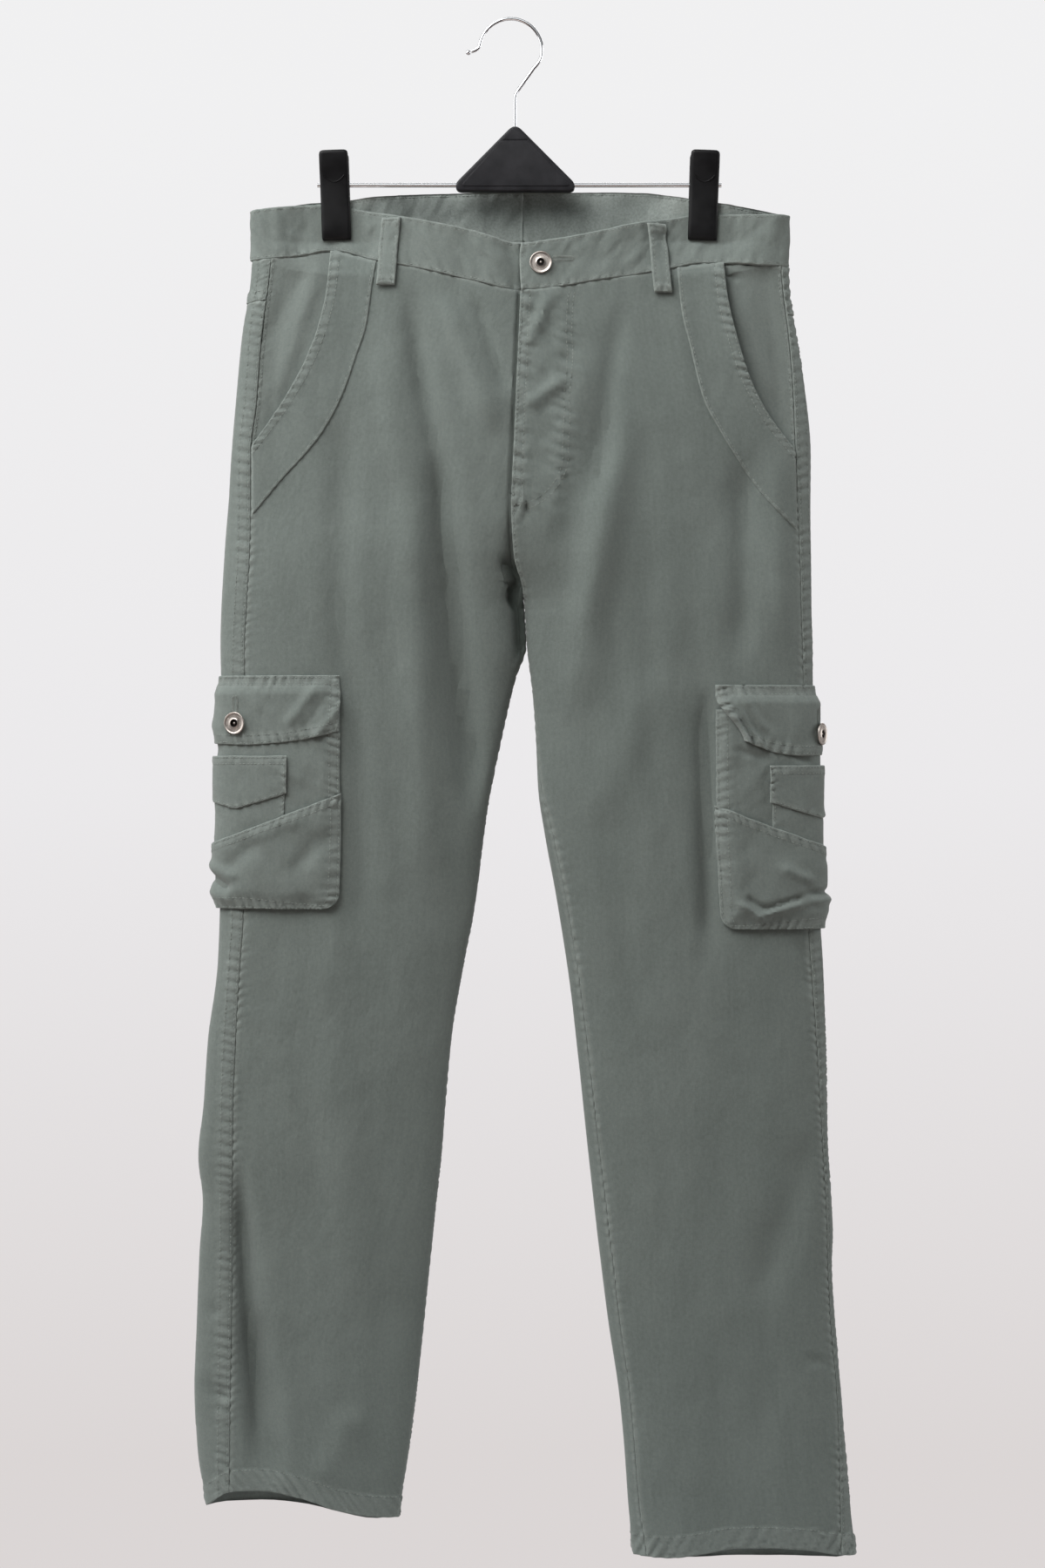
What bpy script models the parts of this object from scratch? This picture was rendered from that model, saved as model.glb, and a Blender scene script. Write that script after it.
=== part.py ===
"""Cargo trousers hanging by two clips from a wire trouser hanger.

Frame: metres, +Z up. The front of the trousers faces -Y and the wearer's right
leg is on the -X side. The origin is the point where the hook bears on a rail,
the inside top of its arc. Tables and sizes are in millimetres.

Every cloth piece is a wall that follows one form: at each height a leg is a
flattened ring, open at the middle above the crotch and closed below it. A place
on the ring is an angle: 0 on the side fold, positive round the front and
negative round the back. Distances off the form are measured outwards, so 0 is
the outer face of the trouser panels.
"""
import math

import bmesh
import bpy
import numpy as np
from mathutils import Matrix, Vector

MM = 0.001

# Cloth thicknesses and clearances
TWILL = 1.3
POCKET_CLOTH = 1.1
LIGHT_CLOTH = 1.0
WAISTBAND_CLOTH = 2.2
SEAM_GAP = 0.3
LAY_GAP = 0.45
BAND_GAP = 0.9
CURVED_SEAM_GAP = 0.7
FACING_GAP = 0.9

# Form of the body: where the two half rings close into legs
CROTCH_HEIGHT = -462.0
FRONT_RISE_TURNS = -367.0
BACK_RISE_TURNS = -315.0
FOLD_RADIUS = 3.2
FOLD_REACH = 26.0

# Waistband
WAISTBAND_PROUD = 0.8
UNDERLAP_END = 46.0
UNDERLAP_STARTS = -16.0
WAIST_MIDDLE = -170.0

# Clips of the hanger
CLIP_CENTRES = {-1: -137.7, 1: 151.3}
CLIP_TILT = math.radians(2.0)
JAW_WIDTH = 22.8
JAW_TOP = -103.4
JAW_BOTTOM = -172.7
JAW_INNER = 2.75
PINCH_DEPTH = 1.6
PINCH_FLAT = 14.5
PINCH_SPREAD = 30.0
PINCH_RELEASE = 0.45
PINCH_ENDS = -174.5

# Hanger
HOOK_RADIUS = 24.5
HOOK_WIRE = 1.4
BAR_HEIGHT = -129.0
BAR_WIRE = 1.8
BAR_ENDS = (-151.5, 165.0)
BORE_CLEARANCE = 0.3
CENTRE_PIECE_DEPTH = 5.5
STEM_X = 3.4
STEM_SOCKET = 12.0
APEX_HEIGHT = -81.6
CENTRE_PIECE_OUTLINE = (
    (STEM_X - 2.8, APEX_HEIGHT), (STEM_X + 2.8, APEX_HEIGHT), (49.0, -126.6), (50.4, -128.6),
    (50.0, -131.4), (47.0, -134.4), (-39.6, -134.4), (-42.8, -131.8), (-43.4, -129.0),
    (-42.0, -126.8),
)

# Cargo pockets
POCKET_HALF_WIDTH = 81.0
POCKET_CORNER = 12.0
POCKET_EDGE_LIFT = 2.2
POCKET_LIFT = 4.6
POCKET_RISE = 14.0
FLAP_SEWN_LIFT = 1.6
SMALL_HALF_WIDTH = 38.0
SMALL_FLAP_HALF_WIDTH = 40.0

BUTTON_RADIUS = 8.75
BUTTON_SEAT = 2.2
CARGO_BUTTON_RISE = 17.0
WAIST_BUTTON_PLACE = (23.5, -191.8)

# Sections of each leg. outseam: place of the side seam on the front;
# inseam: how far the inner seam lies in from the inner fold on the front.
SECTION_COLUMNS = ("height", "outer", "inner", "outseam", "inseam")
SECTIONS = {
    -1: (
        (-130, -203.5, 9.5, -184.0, 0),
        (-190, -203.0, 8.5, -187.5, 0),
        (-250, -210.8, 6.0, -194.8, 0),
        (-300, -215.5, 3.8, -198.5, 0),
        (-340, -218.8, 2.0, -203.0, 0),
        (-381, -221.5, 0.4, -203.0, 0),
        (-421, -224.5, 2.6, -203.6, 0),
        (-443, -225.8, 8.6, -205.0, 0),
        (-462, -226.8, 10.8, -206.0, 0),
        (-490, -227.5, 12.2, -207.5, 0),
        (-515, -227.0, 4.0, -207.6, 0),
        (-562, -226.0, -7.1, -207.8, 0),
        (-617, -226.0, -18.0, -208.0, 0),
        (-697, -228.0, -28.6, -208.4, 0),
        (-738, -229.5, -36.5, -211.1, 0),
        (-796, -237.0, -46.2, -214.5, 0),
        (-851, -241.0, -51.2, -216.6, 0),
        (-889, -244.8, -54.2, -217.0, 0),
        (-925, -241.4, -58.2, -217.3, 0),
        (-970, -244.2, -62.8, -217.3, 0),
        (-1044, -247.0, -70.4, -218.2, 0),
        (-1068, -247.8, -73.1, -218.6, 0),
        (-1115, -245.8, -79.0, -219.2, 0),
        (-1163, -238.4, -86.6, -219.5, 0),
        (-1180, -236.6, -88.8, -219.6, 0),
    ),
    1: (
        (-130, 219.5, 9.5, 208.0, 0),
        (-190, 217.2, 8.5, 211.1, 0),
        (-218, 218.6, 7.4, 214.0, 0),
        (-250, 224.0, 6.0, 218.0, 0),
        (-300, 232.0, 3.8, 221.4, 0),
        (-340, 235.0, 2.0, 222.8, 0),
        (-381, 234.9, 0.4, 224.6, 0),
        (-421, 235.4, 2.6, 226.0, 0),
        (-443, 235.6, 8.6, 226.6, 0),
        (-462, 235.8, 10.8, 227.0, 0),
        (-490, 236.6, 12.6, 228.0, 0),
        (-530, 236.8, 17.3, 229.0, 0),
        (-562, 237.2, 19.7, 229.5, 0.5),
        (-601, 238.0, 21.4, 230.0, 2.5),
        (-639, 239.2, 26.9, 230.6, 6.5),
        (-687, 241.4, 35.7, 231.5, 7.5),
        (-758, 245.6, 46.6, 236.2, 8.0),
        (-806, 246.6, 52.0, 239.6, 8.5),
        (-877, 247.6, 59.5, 243.6, 9.0),
        (-925, 250.6, 64.9, 246.4, 9.5),
        (-949, 251.7, 67.6, 247.4, 9.5),
        (-972, 250.8, 70.4, 247.8, 9.5),
        (-1020, 253.4, 76.5, 250.2, 9.0),
        (-1074, 258.0, 84.6, 255.0, 8.5),
        (-1115, 261.2, 88.7, 256.8, 8.0),
        (-1163, 265.8, 92.1, 257.6, 8.5),
        (-1200, 270.3, 95.5, 258.2, 11.0),
        (-1216, 271.8, 97.0, 258.4, 11.5),
    ),
}

# How far the cloth stands off the middle plane, front and back
DEPTH_COLUMNS = ("height", "front", "back")
DEPTHS = (
    (-130, 12.5, 17),
    (-190, 15.5, 22),
    (-250, 20.5, 29),
    (-320, 25.0, 35),
    (-400, 26.0, 34),
    (-500, 24.0, 29),
    (-620, 22.0, 25),
    (-760, 19.5, 22),
    (-900, 18.0, 20),
    (-1060, 16.5, 18),
    (-1216, 16.0, 17),
)

# Waistband edges from the wearer's right side to the left
WAIST_COLUMNS = ("across", "front_top", "front_bottom", "back_top", "back_bottom")
WAIST_EDGES = (
    (-206.0, -149.6, -189.2, -149.6, -189.2),
    (-184.0, -147.2, -187.4, -147.0, -187.0),
    (-162.0, -145.4, -184.9, -144.0, -184.0),
    (-138.0, -145.2, -180.6, -142.0, -182.0),
    (-126.0, -147.3, -183.4, -141.0, -181.0),
    (-104.0, -151.4, -189.7, -137.1, -177.1),
    (-72.0, -157.0, -195.8, -133.9, -173.9),
    (-31.0, -165.9, -205.4, -132.5, -172.5),
    (8.0, -175.6, -213.2, -132.2, -172.2),
    (37.0, -172.2, -210.6, -132.2, -172.2),
    (64.0, -167.3, -206.0, -132.2, -172.2),
    (102.0, -159.0, -200.2, -133.4, -173.4),
    (124.0, -155.8, -196.2, -136.9, -176.9),
    (151.0, -152.4, -191.4, -141.4, -181.4),
    (170.0, -152.2, -191.2, -144.0, -184.0),
    (196.0, -152.6, -193.0, -148.2, -189.2),
    (222.0, -153.0, -193.4, -153.0, -193.4),
)

# Hem edges of each leg
HEM_COLUMNS = ("across", "front", "back")
HEMS = {
    -1: (
        (-239.0, -1163.0, -1163.0),
        (-219.0, -1150.0, -1161.5),
        (-197.0, -1148.6, -1161.4),
        (-161.0, -1155.3, -1164.6),
        (-136.0, -1164.0, -1171.0),
        (-108.0, -1169.6, -1175.5),
        (-86.0, -1171.4, -1171.4),
    ),
    1: (
        (95.0, -1200.2, -1200.2),
        (122.0, -1201.6, -1206.6),
        (149.0, -1198.2, -1206.4),
        (176.0, -1193.6, -1205.2),
        (201.0, -1193.4, -1205.0),
        (234.0, -1195.4, -1205.4),
        (256.0, -1199.6, -1205.4),
        (271.0, -1201.0, -1201.0),
    ),
}

# Front hip pockets: the opening, and the inner edge of the band sewn along it
MOUTH_COLUMNS = ("height", "across")
POCKET_MOUTHS = {
    -1: ((-176, -140.6), (-213, -143.8), (-239, -149.3), (-264, -158.1),
         (-283, -167.6), (-303, -179.9), (-334, -202.0)),
    1: ((-186, 165.8), (-218, 169.0), (-246, 175.1), (-275, 183.3),
        (-305, 197.5), (-338, 222.0)),
}
BAND_EDGES = {
    -1: ((-184, -103.6), (-213, -108.5), (-241, -112.5), (-264, -120.0),
         (-295, -130.9), (-323, -145.9), (-339, -158.1), (-361, -178.5), (-389, -202.0)),
    1: ((-192, 129.6), (-227, 132.9), (-260, 140.4), (-298, 149.9),
        (-324, 163.5), (-354, 182.6), (-374, 197.5), (-401, 223.6)),
}
MOUTH_ENDS = {-1: -334.0, 1: -338.0}
BAND_ENDS = {-1: -389.0, 1: -401.0}

# Back yoke seam, from the side seam to the middle of the back
YOKE_AT_SIDE = {-1: -220.0, 1: -231.0}
YOKE_AT_CENTRE = -250.0

# Largest folds: troughs are negative, ridges positive. face 1 is the front.
FOLD_COLUMNS = ("side", "face", "x_from", "z_from", "x_to", "z_to", "width", "lift")
FOLDS = (
    (-1, 1, -62, -375, -36, -585, 15, -3.0),
    (-1, 1, -84, -360, -72, -600, 17, 2.2),
    (-1, 1, -214, -900, -184, -1125, 12, -3.6),
    (-1, 1, -150, -700, -120, -930, 24, 2.0),
    (1, 1, 145, -360, 142, -690, 18, -2.6),
    (1, 1, 105, -400, 112, -760, 20, 2.0),
    (1, 1, 238, -860, 190, -1012, 14, -3.6),
    (1, 1, 120, -800, 150, -1080, 26, 2.0),
    (-1, -1, -110, -420, -92, -760, 22, -3.0),
    (1, -1, 122, -430, 110, -800, 22, -3.0),
    (-1, -1, -170, -820, -150, -1080, 18, 2.4),
    (1, -1, 180, -860, 200, -1100, 18, 2.4),
)

# Heights at which panels that meet share a row of corners
PANEL_ROWS = (-222, -262, -300, -335, -365, -392, -412, -430, -446, -462, -480, -497,
              -520, -560, -610, -670, -735, -800, -860, -892, -925, -970, -1040, -1105)

# A leg panel is three solids, parted at these rows, so that its collision stays hollow
PANEL_PARTS = (("upper", -560), ("middle", -860), ("lower", None))

# Shares of a panel's width that have a column of corners: close at the folds
FRONT_SHARES = (0, 0.05, 0.13, 0.26, 0.42, 0.58, 0.74, 0.87, 0.95, 1)
BACK_SHARES = (0, 0.05, 0.11, 0.18, 0.3, 0.45, 0.6, 0.73, 0.83, 0.9, 0.95, 1)
YOKE_SHARES = (0, 0.15, 0.26, 0.34, 0.42, 0.48, 0.54, 0.6, 0.68, 0.76, 0.83, 0.9, 0.95, 1)

# Cargo pockets of each leg: middle is measured round the leg from the side fold
POCKET_COLUMNS = ("side", "middle", "flap_top", "flap_drop", "flap_point", "mouth", "bottom",
                  "cut_front", "cut_fall", "small_top", "button_turn")
POCKETS = (
    (-1, 20.0, -513.5, 42.0, 54.0, -532.0, -695.0, -605.0, 64.0, -576.0, 20.0),
    (1, 4.0, -521.0, 42.0, 55.0, -540.0, -711.0, -615.0, 62.0, -583.5, 4.0),
)

LOOP_WIDTH = 14.0
LOOP_CLOTH = 1.8
LOOP_SEAT = 0.1
LOOP_ARCH = 1.3
LOOP_COLUMNS = ("name", "side", "face", "x_top", "x_bottom", "z_top", "z_bottom")
LOOPS = (
    ("belt_loop_front_right", -1, 1, -92.5, -97.3, -156.0, -209.4),
    ("belt_loop_front_left", 1, 1, 112.9, 118.9, -160.0, -215.0),
    ("belt_loop_back_right", -1, -1, -90.0, -90.0, -137.6, -185.0),
    ("belt_loop_back_left", 1, -1, 122.0, 122.0, -139.6, -188.4),
    ("belt_loop_back_centre", 1, -1, 17.0, 17.0, -135.4, -185.0),
)

FINISHES = {
    "twill": ((0.150, 0.170, 0.160, 1), 0.95, 0.0),
    "nickel": ((0.420, 0.360, 0.320, 1), 0.40, 1.0),
    "chrome": ((0.800, 0.800, 0.820, 1), 0.12, 1.0),
    "plastic": ((0.022, 0.022, 0.024, 1), 0.45, 0.0),
    "steel": ((0.450, 0.450, 0.450, 1), 0.35, 1.0),
    "tape": ((0.110, 0.125, 0.115, 1), 0.90, 0.0),
}


def table(columns, rows):
    """Rows of a table as a dictionary of its columns."""
    return dict(zip(columns, zip(*rows)))


def smoothstep(value):
    value = np.clip(value, 0.0, 1.0)
    return value * value * (3.0 - 2.0 * value)


def track(places, values):
    """A smooth curve through the rows of a table that never overshoots them."""
    order = np.argsort(places)
    xs = np.array(places, float)[order]
    ys = np.array(values, float)[order]
    slopes = np.diff(ys) / np.diff(xs)
    tangents = np.concatenate([slopes[:1], np.zeros(len(xs) - 2), slopes[-1:]])
    for k in range(1, len(xs) - 1):
        before, after = slopes[k - 1], slopes[k]
        if before * after > 0:
            tangents[k] = 2 * before * after / (before + after)

    def read(x):
        x = np.clip(np.asarray(x, float), xs[0], xs[-1])
        k = np.clip(np.searchsorted(xs, x) - 1, 0, len(xs) - 2)
        span = xs[k + 1] - xs[k]
        t = (x - xs[k]) / span
        start = (1 + 2 * t) * (1 - t) ** 2 * ys[k] + t * (1 - t) ** 2 * span * tangents[k]
        end = t * t * (3 - 2 * t) * ys[k + 1] + t * t * (t - 1) * span * tangents[k + 1]
        return start + end

    return read


def tracks(columns, rows):
    """One smooth curve for each column of a table, read by its first column."""
    data = table(columns, rows)
    return {name: track(data[columns[0]], data[name]) for name in columns[1:]}


DEPTH = tracks(DEPTH_COLUMNS, DEPTHS)
WAIST = tracks(WAIST_COLUMNS, WAIST_EDGES)


def fold_lift(side, face, x, z):
    """Height of the largest folds above the form at a place on one leg."""
    lift = np.zeros(np.broadcast(x, z).shape)
    for row in FOLDS:
        fold = dict(zip(FOLD_COLUMNS, row))
        if fold["side"] != side or fold["face"] != face:
            continue
        along_x = fold["x_to"] - fold["x_from"]
        along_z = fold["z_to"] - fold["z_from"]
        length = math.hypot(along_x, along_z)
        along = ((x - fold["x_from"]) * along_x + (z - fold["z_from"]) * along_z) / length
        across = ((x - fold["x_from"]) * along_z - (z - fold["z_from"]) * along_x) / length
        ends = smoothstep(along / (0.35 * length)) * smoothstep((length - along) / (0.35 * length))
        lift = lift + fold["lift"] * ends * np.exp(-(across / fold["width"]) ** 2)
    return lift


class Leg:
    """The form of one leg and of the half of the hips above it."""

    def __init__(self, side):
        self.side = side
        self.section = tracks(SECTION_COLUMNS, SECTIONS[side])
        self.hem = tracks(HEM_COLUMNS, HEMS[side])
        self.rings = {}

    def inner(self, z):
        return self.section["inner"](z) + self.side * SEAM_GAP / 2

    def closing(self, front, z):
        """0 where the ring is open at the middle, 1 where it is a closed leg."""
        turns = np.where(front, FRONT_RISE_TURNS, BACK_RISE_TURNS)
        return smoothstep((turns - z) / (turns - CROTCH_HEIGHT))

    def reach(self, front, z):
        width = np.abs(self.inner(z) - self.section["outer"](z))
        return width / (1 + self.closing(front, z))

    def last_angle(self, front, z):
        return np.arccos(-self.closing(front, z))

    def angle_at(self, x, z, front=True):
        """Angle on the front or back where the form is at x."""
        share = np.abs(x - self.section["outer"](z)) / self.reach(front, z)
        angle = np.arccos(np.clip(1 - share, -1, 1))
        return angle if front else -angle

    def inseam_angle(self, z):
        """Angle of the inner seam, or of the middle seam above the crotch."""
        last = self.last_angle(True, z)
        shift = self.section["inseam"](z) / self.reach(True, z)
        return np.where(z < CROTCH_HEIGHT, np.arccos(np.clip(shift - 1, -1, 1)), last)

    def point(self, angle, z):
        """Point of the form at an angle and height, in millimetres."""
        angle, z = np.broadcast_arrays(np.asarray(angle, float), np.asarray(z, float))
        turned = np.where(angle < -math.pi, angle + 2 * math.pi, angle)
        front = turned >= 0
        closed = self.closing(front, z)
        reach = self.reach(front, z)
        cosine = np.cos(turned)
        from_outer = reach * (1 - cosine)
        from_inner = np.maximum(reach * (closed + cosine), 0)
        x = self.section["outer"](z) - self.side * from_outer
        depth = np.where(front, DEPTH["front"](z), DEPTH["back"](z))
        full = np.sqrt(
            (depth * np.sin(turned)) ** 2
            + 2 * FOLD_RADIUS * from_outer * np.exp(-from_outer / FOLD_REACH)
            + 2 * FOLD_RADIUS * closed ** 4 * from_inner * np.exp(-from_inner / FOLD_REACH))
        beside = np.maximum(np.abs(x - CLIP_CENTRES[self.side]) - PINCH_FLAT, 0)
        pinch = np.exp(-(beside / PINCH_SPREAD) ** 2)
        held = PINCH_DEPTH + PINCH_RELEASE * np.maximum(PINCH_ENDS - z, 0)
        stand_off = full * (1 - pinch) + np.minimum(full, held) * pinch
        lift = np.where(front, fold_lift(self.side, 1, x, z), fold_lift(self.side, -1, x, z))
        stand_off = stand_off + lift * smoothstep((full - 6) / 10)
        y = np.where(front, -stand_off, stand_off)
        return np.stack([x, y, z], axis=-1)

    def outward(self, angle, z):
        """Unit vector out of the cloth."""
        step = 0.004
        rise = 0.5
        across = self.point(angle + step, z) - self.point(angle - step, z)
        up = self.point(angle, z + rise) - self.point(angle, z - rise)
        normal = np.cross(across, up) * -self.side
        return normal / np.linalg.norm(normal, axis=-1, keepdims=True)

    def lifted(self, angle, z, lift):
        """Point that stands a distance off the form."""
        return self.point(angle, z) + self.outward(angle, z) * np.asarray(lift)[..., None]

    def move_round(self, angle, z, distance):
        """Angle that lies a distance further round the ring."""
        step = 0.004
        speed = np.linalg.norm(self.point(angle + step, z) - self.point(angle, z), axis=-1) / step
        return angle + distance / speed

    def ring_lengths(self, height):
        """Angles of one ring and the distance of each from the side fold."""
        if height not in self.rings:
            angles = np.linspace(-3.0, 3.0, 601)
            ring = self.point(angles, np.full(angles.shape, float(height)))
            steps = np.linalg.norm(np.diff(ring, axis=0), axis=1)
            lengths = np.concatenate([[0], np.cumsum(steps)])
            self.rings[height] = (angles, lengths - lengths[len(angles) // 2])
        return self.rings[height]

    def angle_round(self, distance, z):
        """Angle at a distance round the leg from the side fold."""
        distance, z = np.broadcast_arrays(np.asarray(distance, float), np.asarray(z, float))
        spacing = 5.0
        below = np.floor(z / spacing).astype(int)
        share = z / spacing - below
        found = np.zeros(distance.shape)
        for step, weight in ((0, 1 - share), (1, share)):
            for index in np.unique(below + step):
                here = below + step == index
                angles, lengths = self.ring_lengths(index * spacing)
                found[here] += weight[here] * np.interp(distance[here], lengths, angles)
        return found


LEGS = {-1: Leg(-1), 1: Leg(1)}
SIDE_NAMES = {-1: "right", 1: "left"}


def clear_scene():
    for obj in list(bpy.data.objects):
        bpy.data.objects.remove(obj, do_unlink=True)


def collection(name):
    group = bpy.data.collections.new(name)
    bpy.context.scene.collection.children.link(group)
    return group


def finish_with(obj, finish):
    """Give an object its own material."""
    colour, roughness, metallic = FINISHES[finish]
    material = bpy.data.materials.new(f"{obj.name}_{finish}")
    material.use_nodes = True
    shader = material.node_tree.nodes["Principled BSDF"]
    shader.inputs["Base Color"].default_value = colour
    shader.inputs["Roughness"].default_value = roughness
    shader.inputs["Metallic"].default_value = metallic
    obj.data.materials.clear()
    obj.data.materials.append(material)


def add_object(name, data, finish=None):
    obj = bpy.data.objects.new(name, data)
    PARTS.objects.link(obj)
    if finish:
        finish_with(obj, finish)
    return obj


def as_cutter(obj):
    PARTS.objects.unlink(obj)
    CUTTERS.objects.link(obj)
    obj.hide_render = True
    obj.display_type = "WIRE"
    return obj


def wall_faces(rows, columns):
    """Quads of a closed wall: an outer grid, an inner grid and the rim."""
    size = rows * columns
    faces = []
    for r in range(rows - 1):
        for c in range(columns - 1):
            corner = r * columns + c
            face = (corner, corner + columns, corner + columns + 1, corner + 1)
            faces.append(face)
            faces.append(tuple(size + k for k in reversed(face)))
    rim = [c for c in range(columns)]
    rim += [r * columns + columns - 1 for r in range(1, rows)]
    rim += [(rows - 1) * columns + c for c in range(columns - 2, -1, -1)]
    rim += [r * columns for r in range(rows - 2, 0, -1)]
    for here, after in zip(rim, rim[1:] + rim[:1]):
        faces.append((here, after, size + after, size + here))
    return faces


def cloth_wall(name, leg, angles, heights, lifts, thickness, finish="twill"):
    """A wall of cloth over a grid of places on a leg, rows running down.

    Columns run to growing angles. lifts is how far the outer face stands off
    the form, and the wall goes inwards from it.
    """
    angles, heights, lifts = np.broadcast_arrays(angles, heights, lifts)
    rows, columns = angles.shape
    outside = leg.lifted(angles, heights, lifts)
    inside = leg.lifted(angles, heights, lifts - thickness)
    points = np.concatenate([outside.reshape(-1, 3), inside.reshape(-1, 3)]) * MM
    faces = wall_faces(rows, columns)
    if leg.side > 0:
        faces = [face[::-1] for face in faces]
    mesh = bpy.data.meshes.new(name)
    mesh.from_pydata(points.tolist(), [], faces)
    mesh.shade_smooth()
    mesh.set_sharp_from_angle(angle=math.radians(40))
    return add_object(name, mesh, finish)


def waist_bottom(x, front):
    return WAIST["front_bottom" if front else "back_bottom"](x)


def top_of_panel(leg, angles, front):
    """Heights just under the waistband at each column of a panel."""
    z = np.full(angles.shape, -200.0)
    for _ in range(4):
        x = leg.point(angles, z)[..., 0]
        z = waist_bottom(x, front) - CURVED_SEAM_GAP
    return z


def hem_heights(leg, angles):
    """Heights of the hem at each column, front or back by its angle."""
    z = np.full(angles.shape, -1170.0)
    x = leg.point(angles, z)[..., 0]
    turned = np.where(angles < -math.pi, angles + 2 * math.pi, angles)
    return np.where(turned >= 0, leg.hem["front"](x), leg.hem["back"](x))


def panel_rows(edges, shares, top, rows, bottom):
    """Angles and heights of a panel between two edges, each an angle by height."""
    shares = np.array(shares)

    def across(z):
        low, high = edges[0](z), edges[1](z)
        return low + (high - low) * shares

    highest = np.full(shares.shape, float(rows[0]))
    for _ in range(4):
        highest = top(across(highest))
    heights = [highest] + [np.full(shares.shape, float(height)) for height in rows]
    heights.append(bottom(across(heights[-1] - 50)))
    return across, heights


def panel_wall(name, leg, edges, shares, top, rows, bottom):
    """A short panel, as one solid."""
    across, heights = panel_rows(edges, shares, top, rows, bottom)
    angles = [across(z) for z in heights]
    cloth_wall(name, leg, np.array(angles), np.array(heights), 0.0, TWILL)


def leg_panel(name, leg, edges, shares, top, rows, bottom):
    """A panel as long as the leg, as solids one above the other."""
    across, heights = panel_rows(edges, shares, top, rows, bottom)
    start = 0
    for where, parting in PANEL_PARTS:
        end = rows.index(parting) + 1 if parting else len(heights) - 1
        part = heights[start:end + 1]
        if start:
            part[0] = part[0] - SEAM_GAP
        angles = [across(z) for z in part]
        cloth_wall(f"{name}_{where}", leg, np.array(angles), np.array(part), 0.0, TWILL)
        start = end


def side_seam(leg, z, shift):
    """Angle of the side seam, moved a little round the ring."""
    angle = leg.angle_at(leg.section["outseam"](z), z)
    return leg.move_round(angle, z, shift)


def front_panel(side):
    leg = LEGS[side]
    mouth = track(*zip(*POCKET_MOUTHS[side]))

    def outer_edge(z):
        along_mouth = leg.angle_at(mouth(z), z)
        seam = side_seam(leg, z, SEAM_GAP / 2)
        return np.where(z > MOUTH_ENDS[side], along_mouth, seam)

    def inner_edge(z):
        at_seam = leg.move_round(leg.inseam_angle(z), z, -SEAM_GAP / 2)
        return np.where(z < CROTCH_HEIGHT + 1, at_seam, leg.last_angle(True, z))

    leg_panel(f"front_{SIDE_NAMES[side]}", leg, (outer_edge, inner_edge), FRONT_SHARES,
              lambda angles: top_of_panel(leg, angles, True), PANEL_ROWS,
              lambda angles: hem_heights(leg, angles))


def back_inner_edge(leg, z):
    """Middle seam of the back, or the inner seam reached round the back."""
    round_back = -(2 * math.pi - leg.inseam_angle(z))
    at_seam = leg.move_round(round_back, z, SEAM_GAP / 2)
    return np.where(z < CROTCH_HEIGHT + 1, at_seam, -leg.last_angle(False, z))


def back_edges(leg):
    return (lambda z: back_inner_edge(leg, z), lambda z: side_seam(leg, z, -SEAM_GAP / 2))


def yoke_seam(leg, shares):
    """Height of the yoke seam for shares of the way from middle to side."""
    return YOKE_AT_CENTRE + (YOKE_AT_SIDE[leg.side] - YOKE_AT_CENTRE) * np.array(shares)


def back_panel(side):
    leg = LEGS[side]
    leg_panel(f"back_{SIDE_NAMES[side]}", leg, back_edges(leg), BACK_SHARES,
              lambda angles: yoke_seam(leg, BACK_SHARES) - CURVED_SEAM_GAP, PANEL_ROWS[1:],
              lambda angles: hem_heights(leg, angles))


def back_yoke(side):
    leg = LEGS[side]
    shares = np.array(YOKE_SHARES)

    def top(angles):
        z = top_of_panel(leg, angles, False)
        return np.where(angles >= 0, top_of_panel(leg, angles, True), z)

    panel_wall(f"back_yoke_{SIDE_NAMES[side]}", leg, back_edges(leg), shares, top, (-205,),
               lambda angles: yoke_seam(leg, shares))


def hip_facing(side):
    """The cloth seen inside a hip pocket, sunk behind the front panel."""
    leg = LEGS[side]
    mouth = track(*zip(*POCKET_MOUTHS[side]))
    under_panel = 18.0

    def hidden_edge(z):
        return leg.angle_at(mouth(z) - side * under_panel, z)

    shares = np.linspace(0, 1, 6)
    heights = [top_of_panel(leg, np.linspace(0.4, 0.8, 6), True)]
    for _ in range(3):
        seam = side_seam(leg, heights[0], SEAM_GAP)
        angles = seam + (hidden_edge(heights[0]) - seam) * shares
        heights[0] = top_of_panel(leg, angles, True)
    heights += [np.full(shares.shape, float(height)) for height in (-222, -262, -300, -335, -352)]
    heights = np.array(heights)
    seam = side_seam(leg, heights, SEAM_GAP)
    angles = seam + (hidden_edge(heights) - seam) * shares
    return cloth_wall(f"hip_pocket_facing_{SIDE_NAMES[side]}", leg, angles, heights,
                      -(TWILL + FACING_GAP), LIGHT_CLOTH)


def hip_band(side):
    """The shaped band sewn on the front along a hip pocket's opening."""
    leg = LEGS[side]
    mouth = track(*zip(*POCKET_MOUTHS[side]))
    edge = track(*zip(*BAND_EDGES[side]))
    down = np.linspace(0, 1, 10)
    from_mouth = float(waist_bottom(mouth(-186.0), True)) - 1.2
    from_edge = float(waist_bottom(edge(-190.0), True)) - 1.2
    along_mouth = from_mouth + (MOUTH_ENDS[side] - from_mouth) * down
    along_edge = from_edge + (BAND_ENDS[side] - from_edge) * down
    across = np.linspace(0, 1, 5)
    heights = along_mouth[:, None] + (along_edge - along_mouth)[:, None] * across
    mouth_x, edge_x = mouth(along_mouth), edge(along_edge)
    x = mouth_x[:, None] + (edge_x - mouth_x)[:, None] * across
    return cloth_wall(f"hip_pocket_band_{SIDE_NAMES[side]}", leg, leg.angle_at(x, heights),
                      heights, BAND_GAP + LIGHT_CLOTH, LIGHT_CLOTH)


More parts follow.
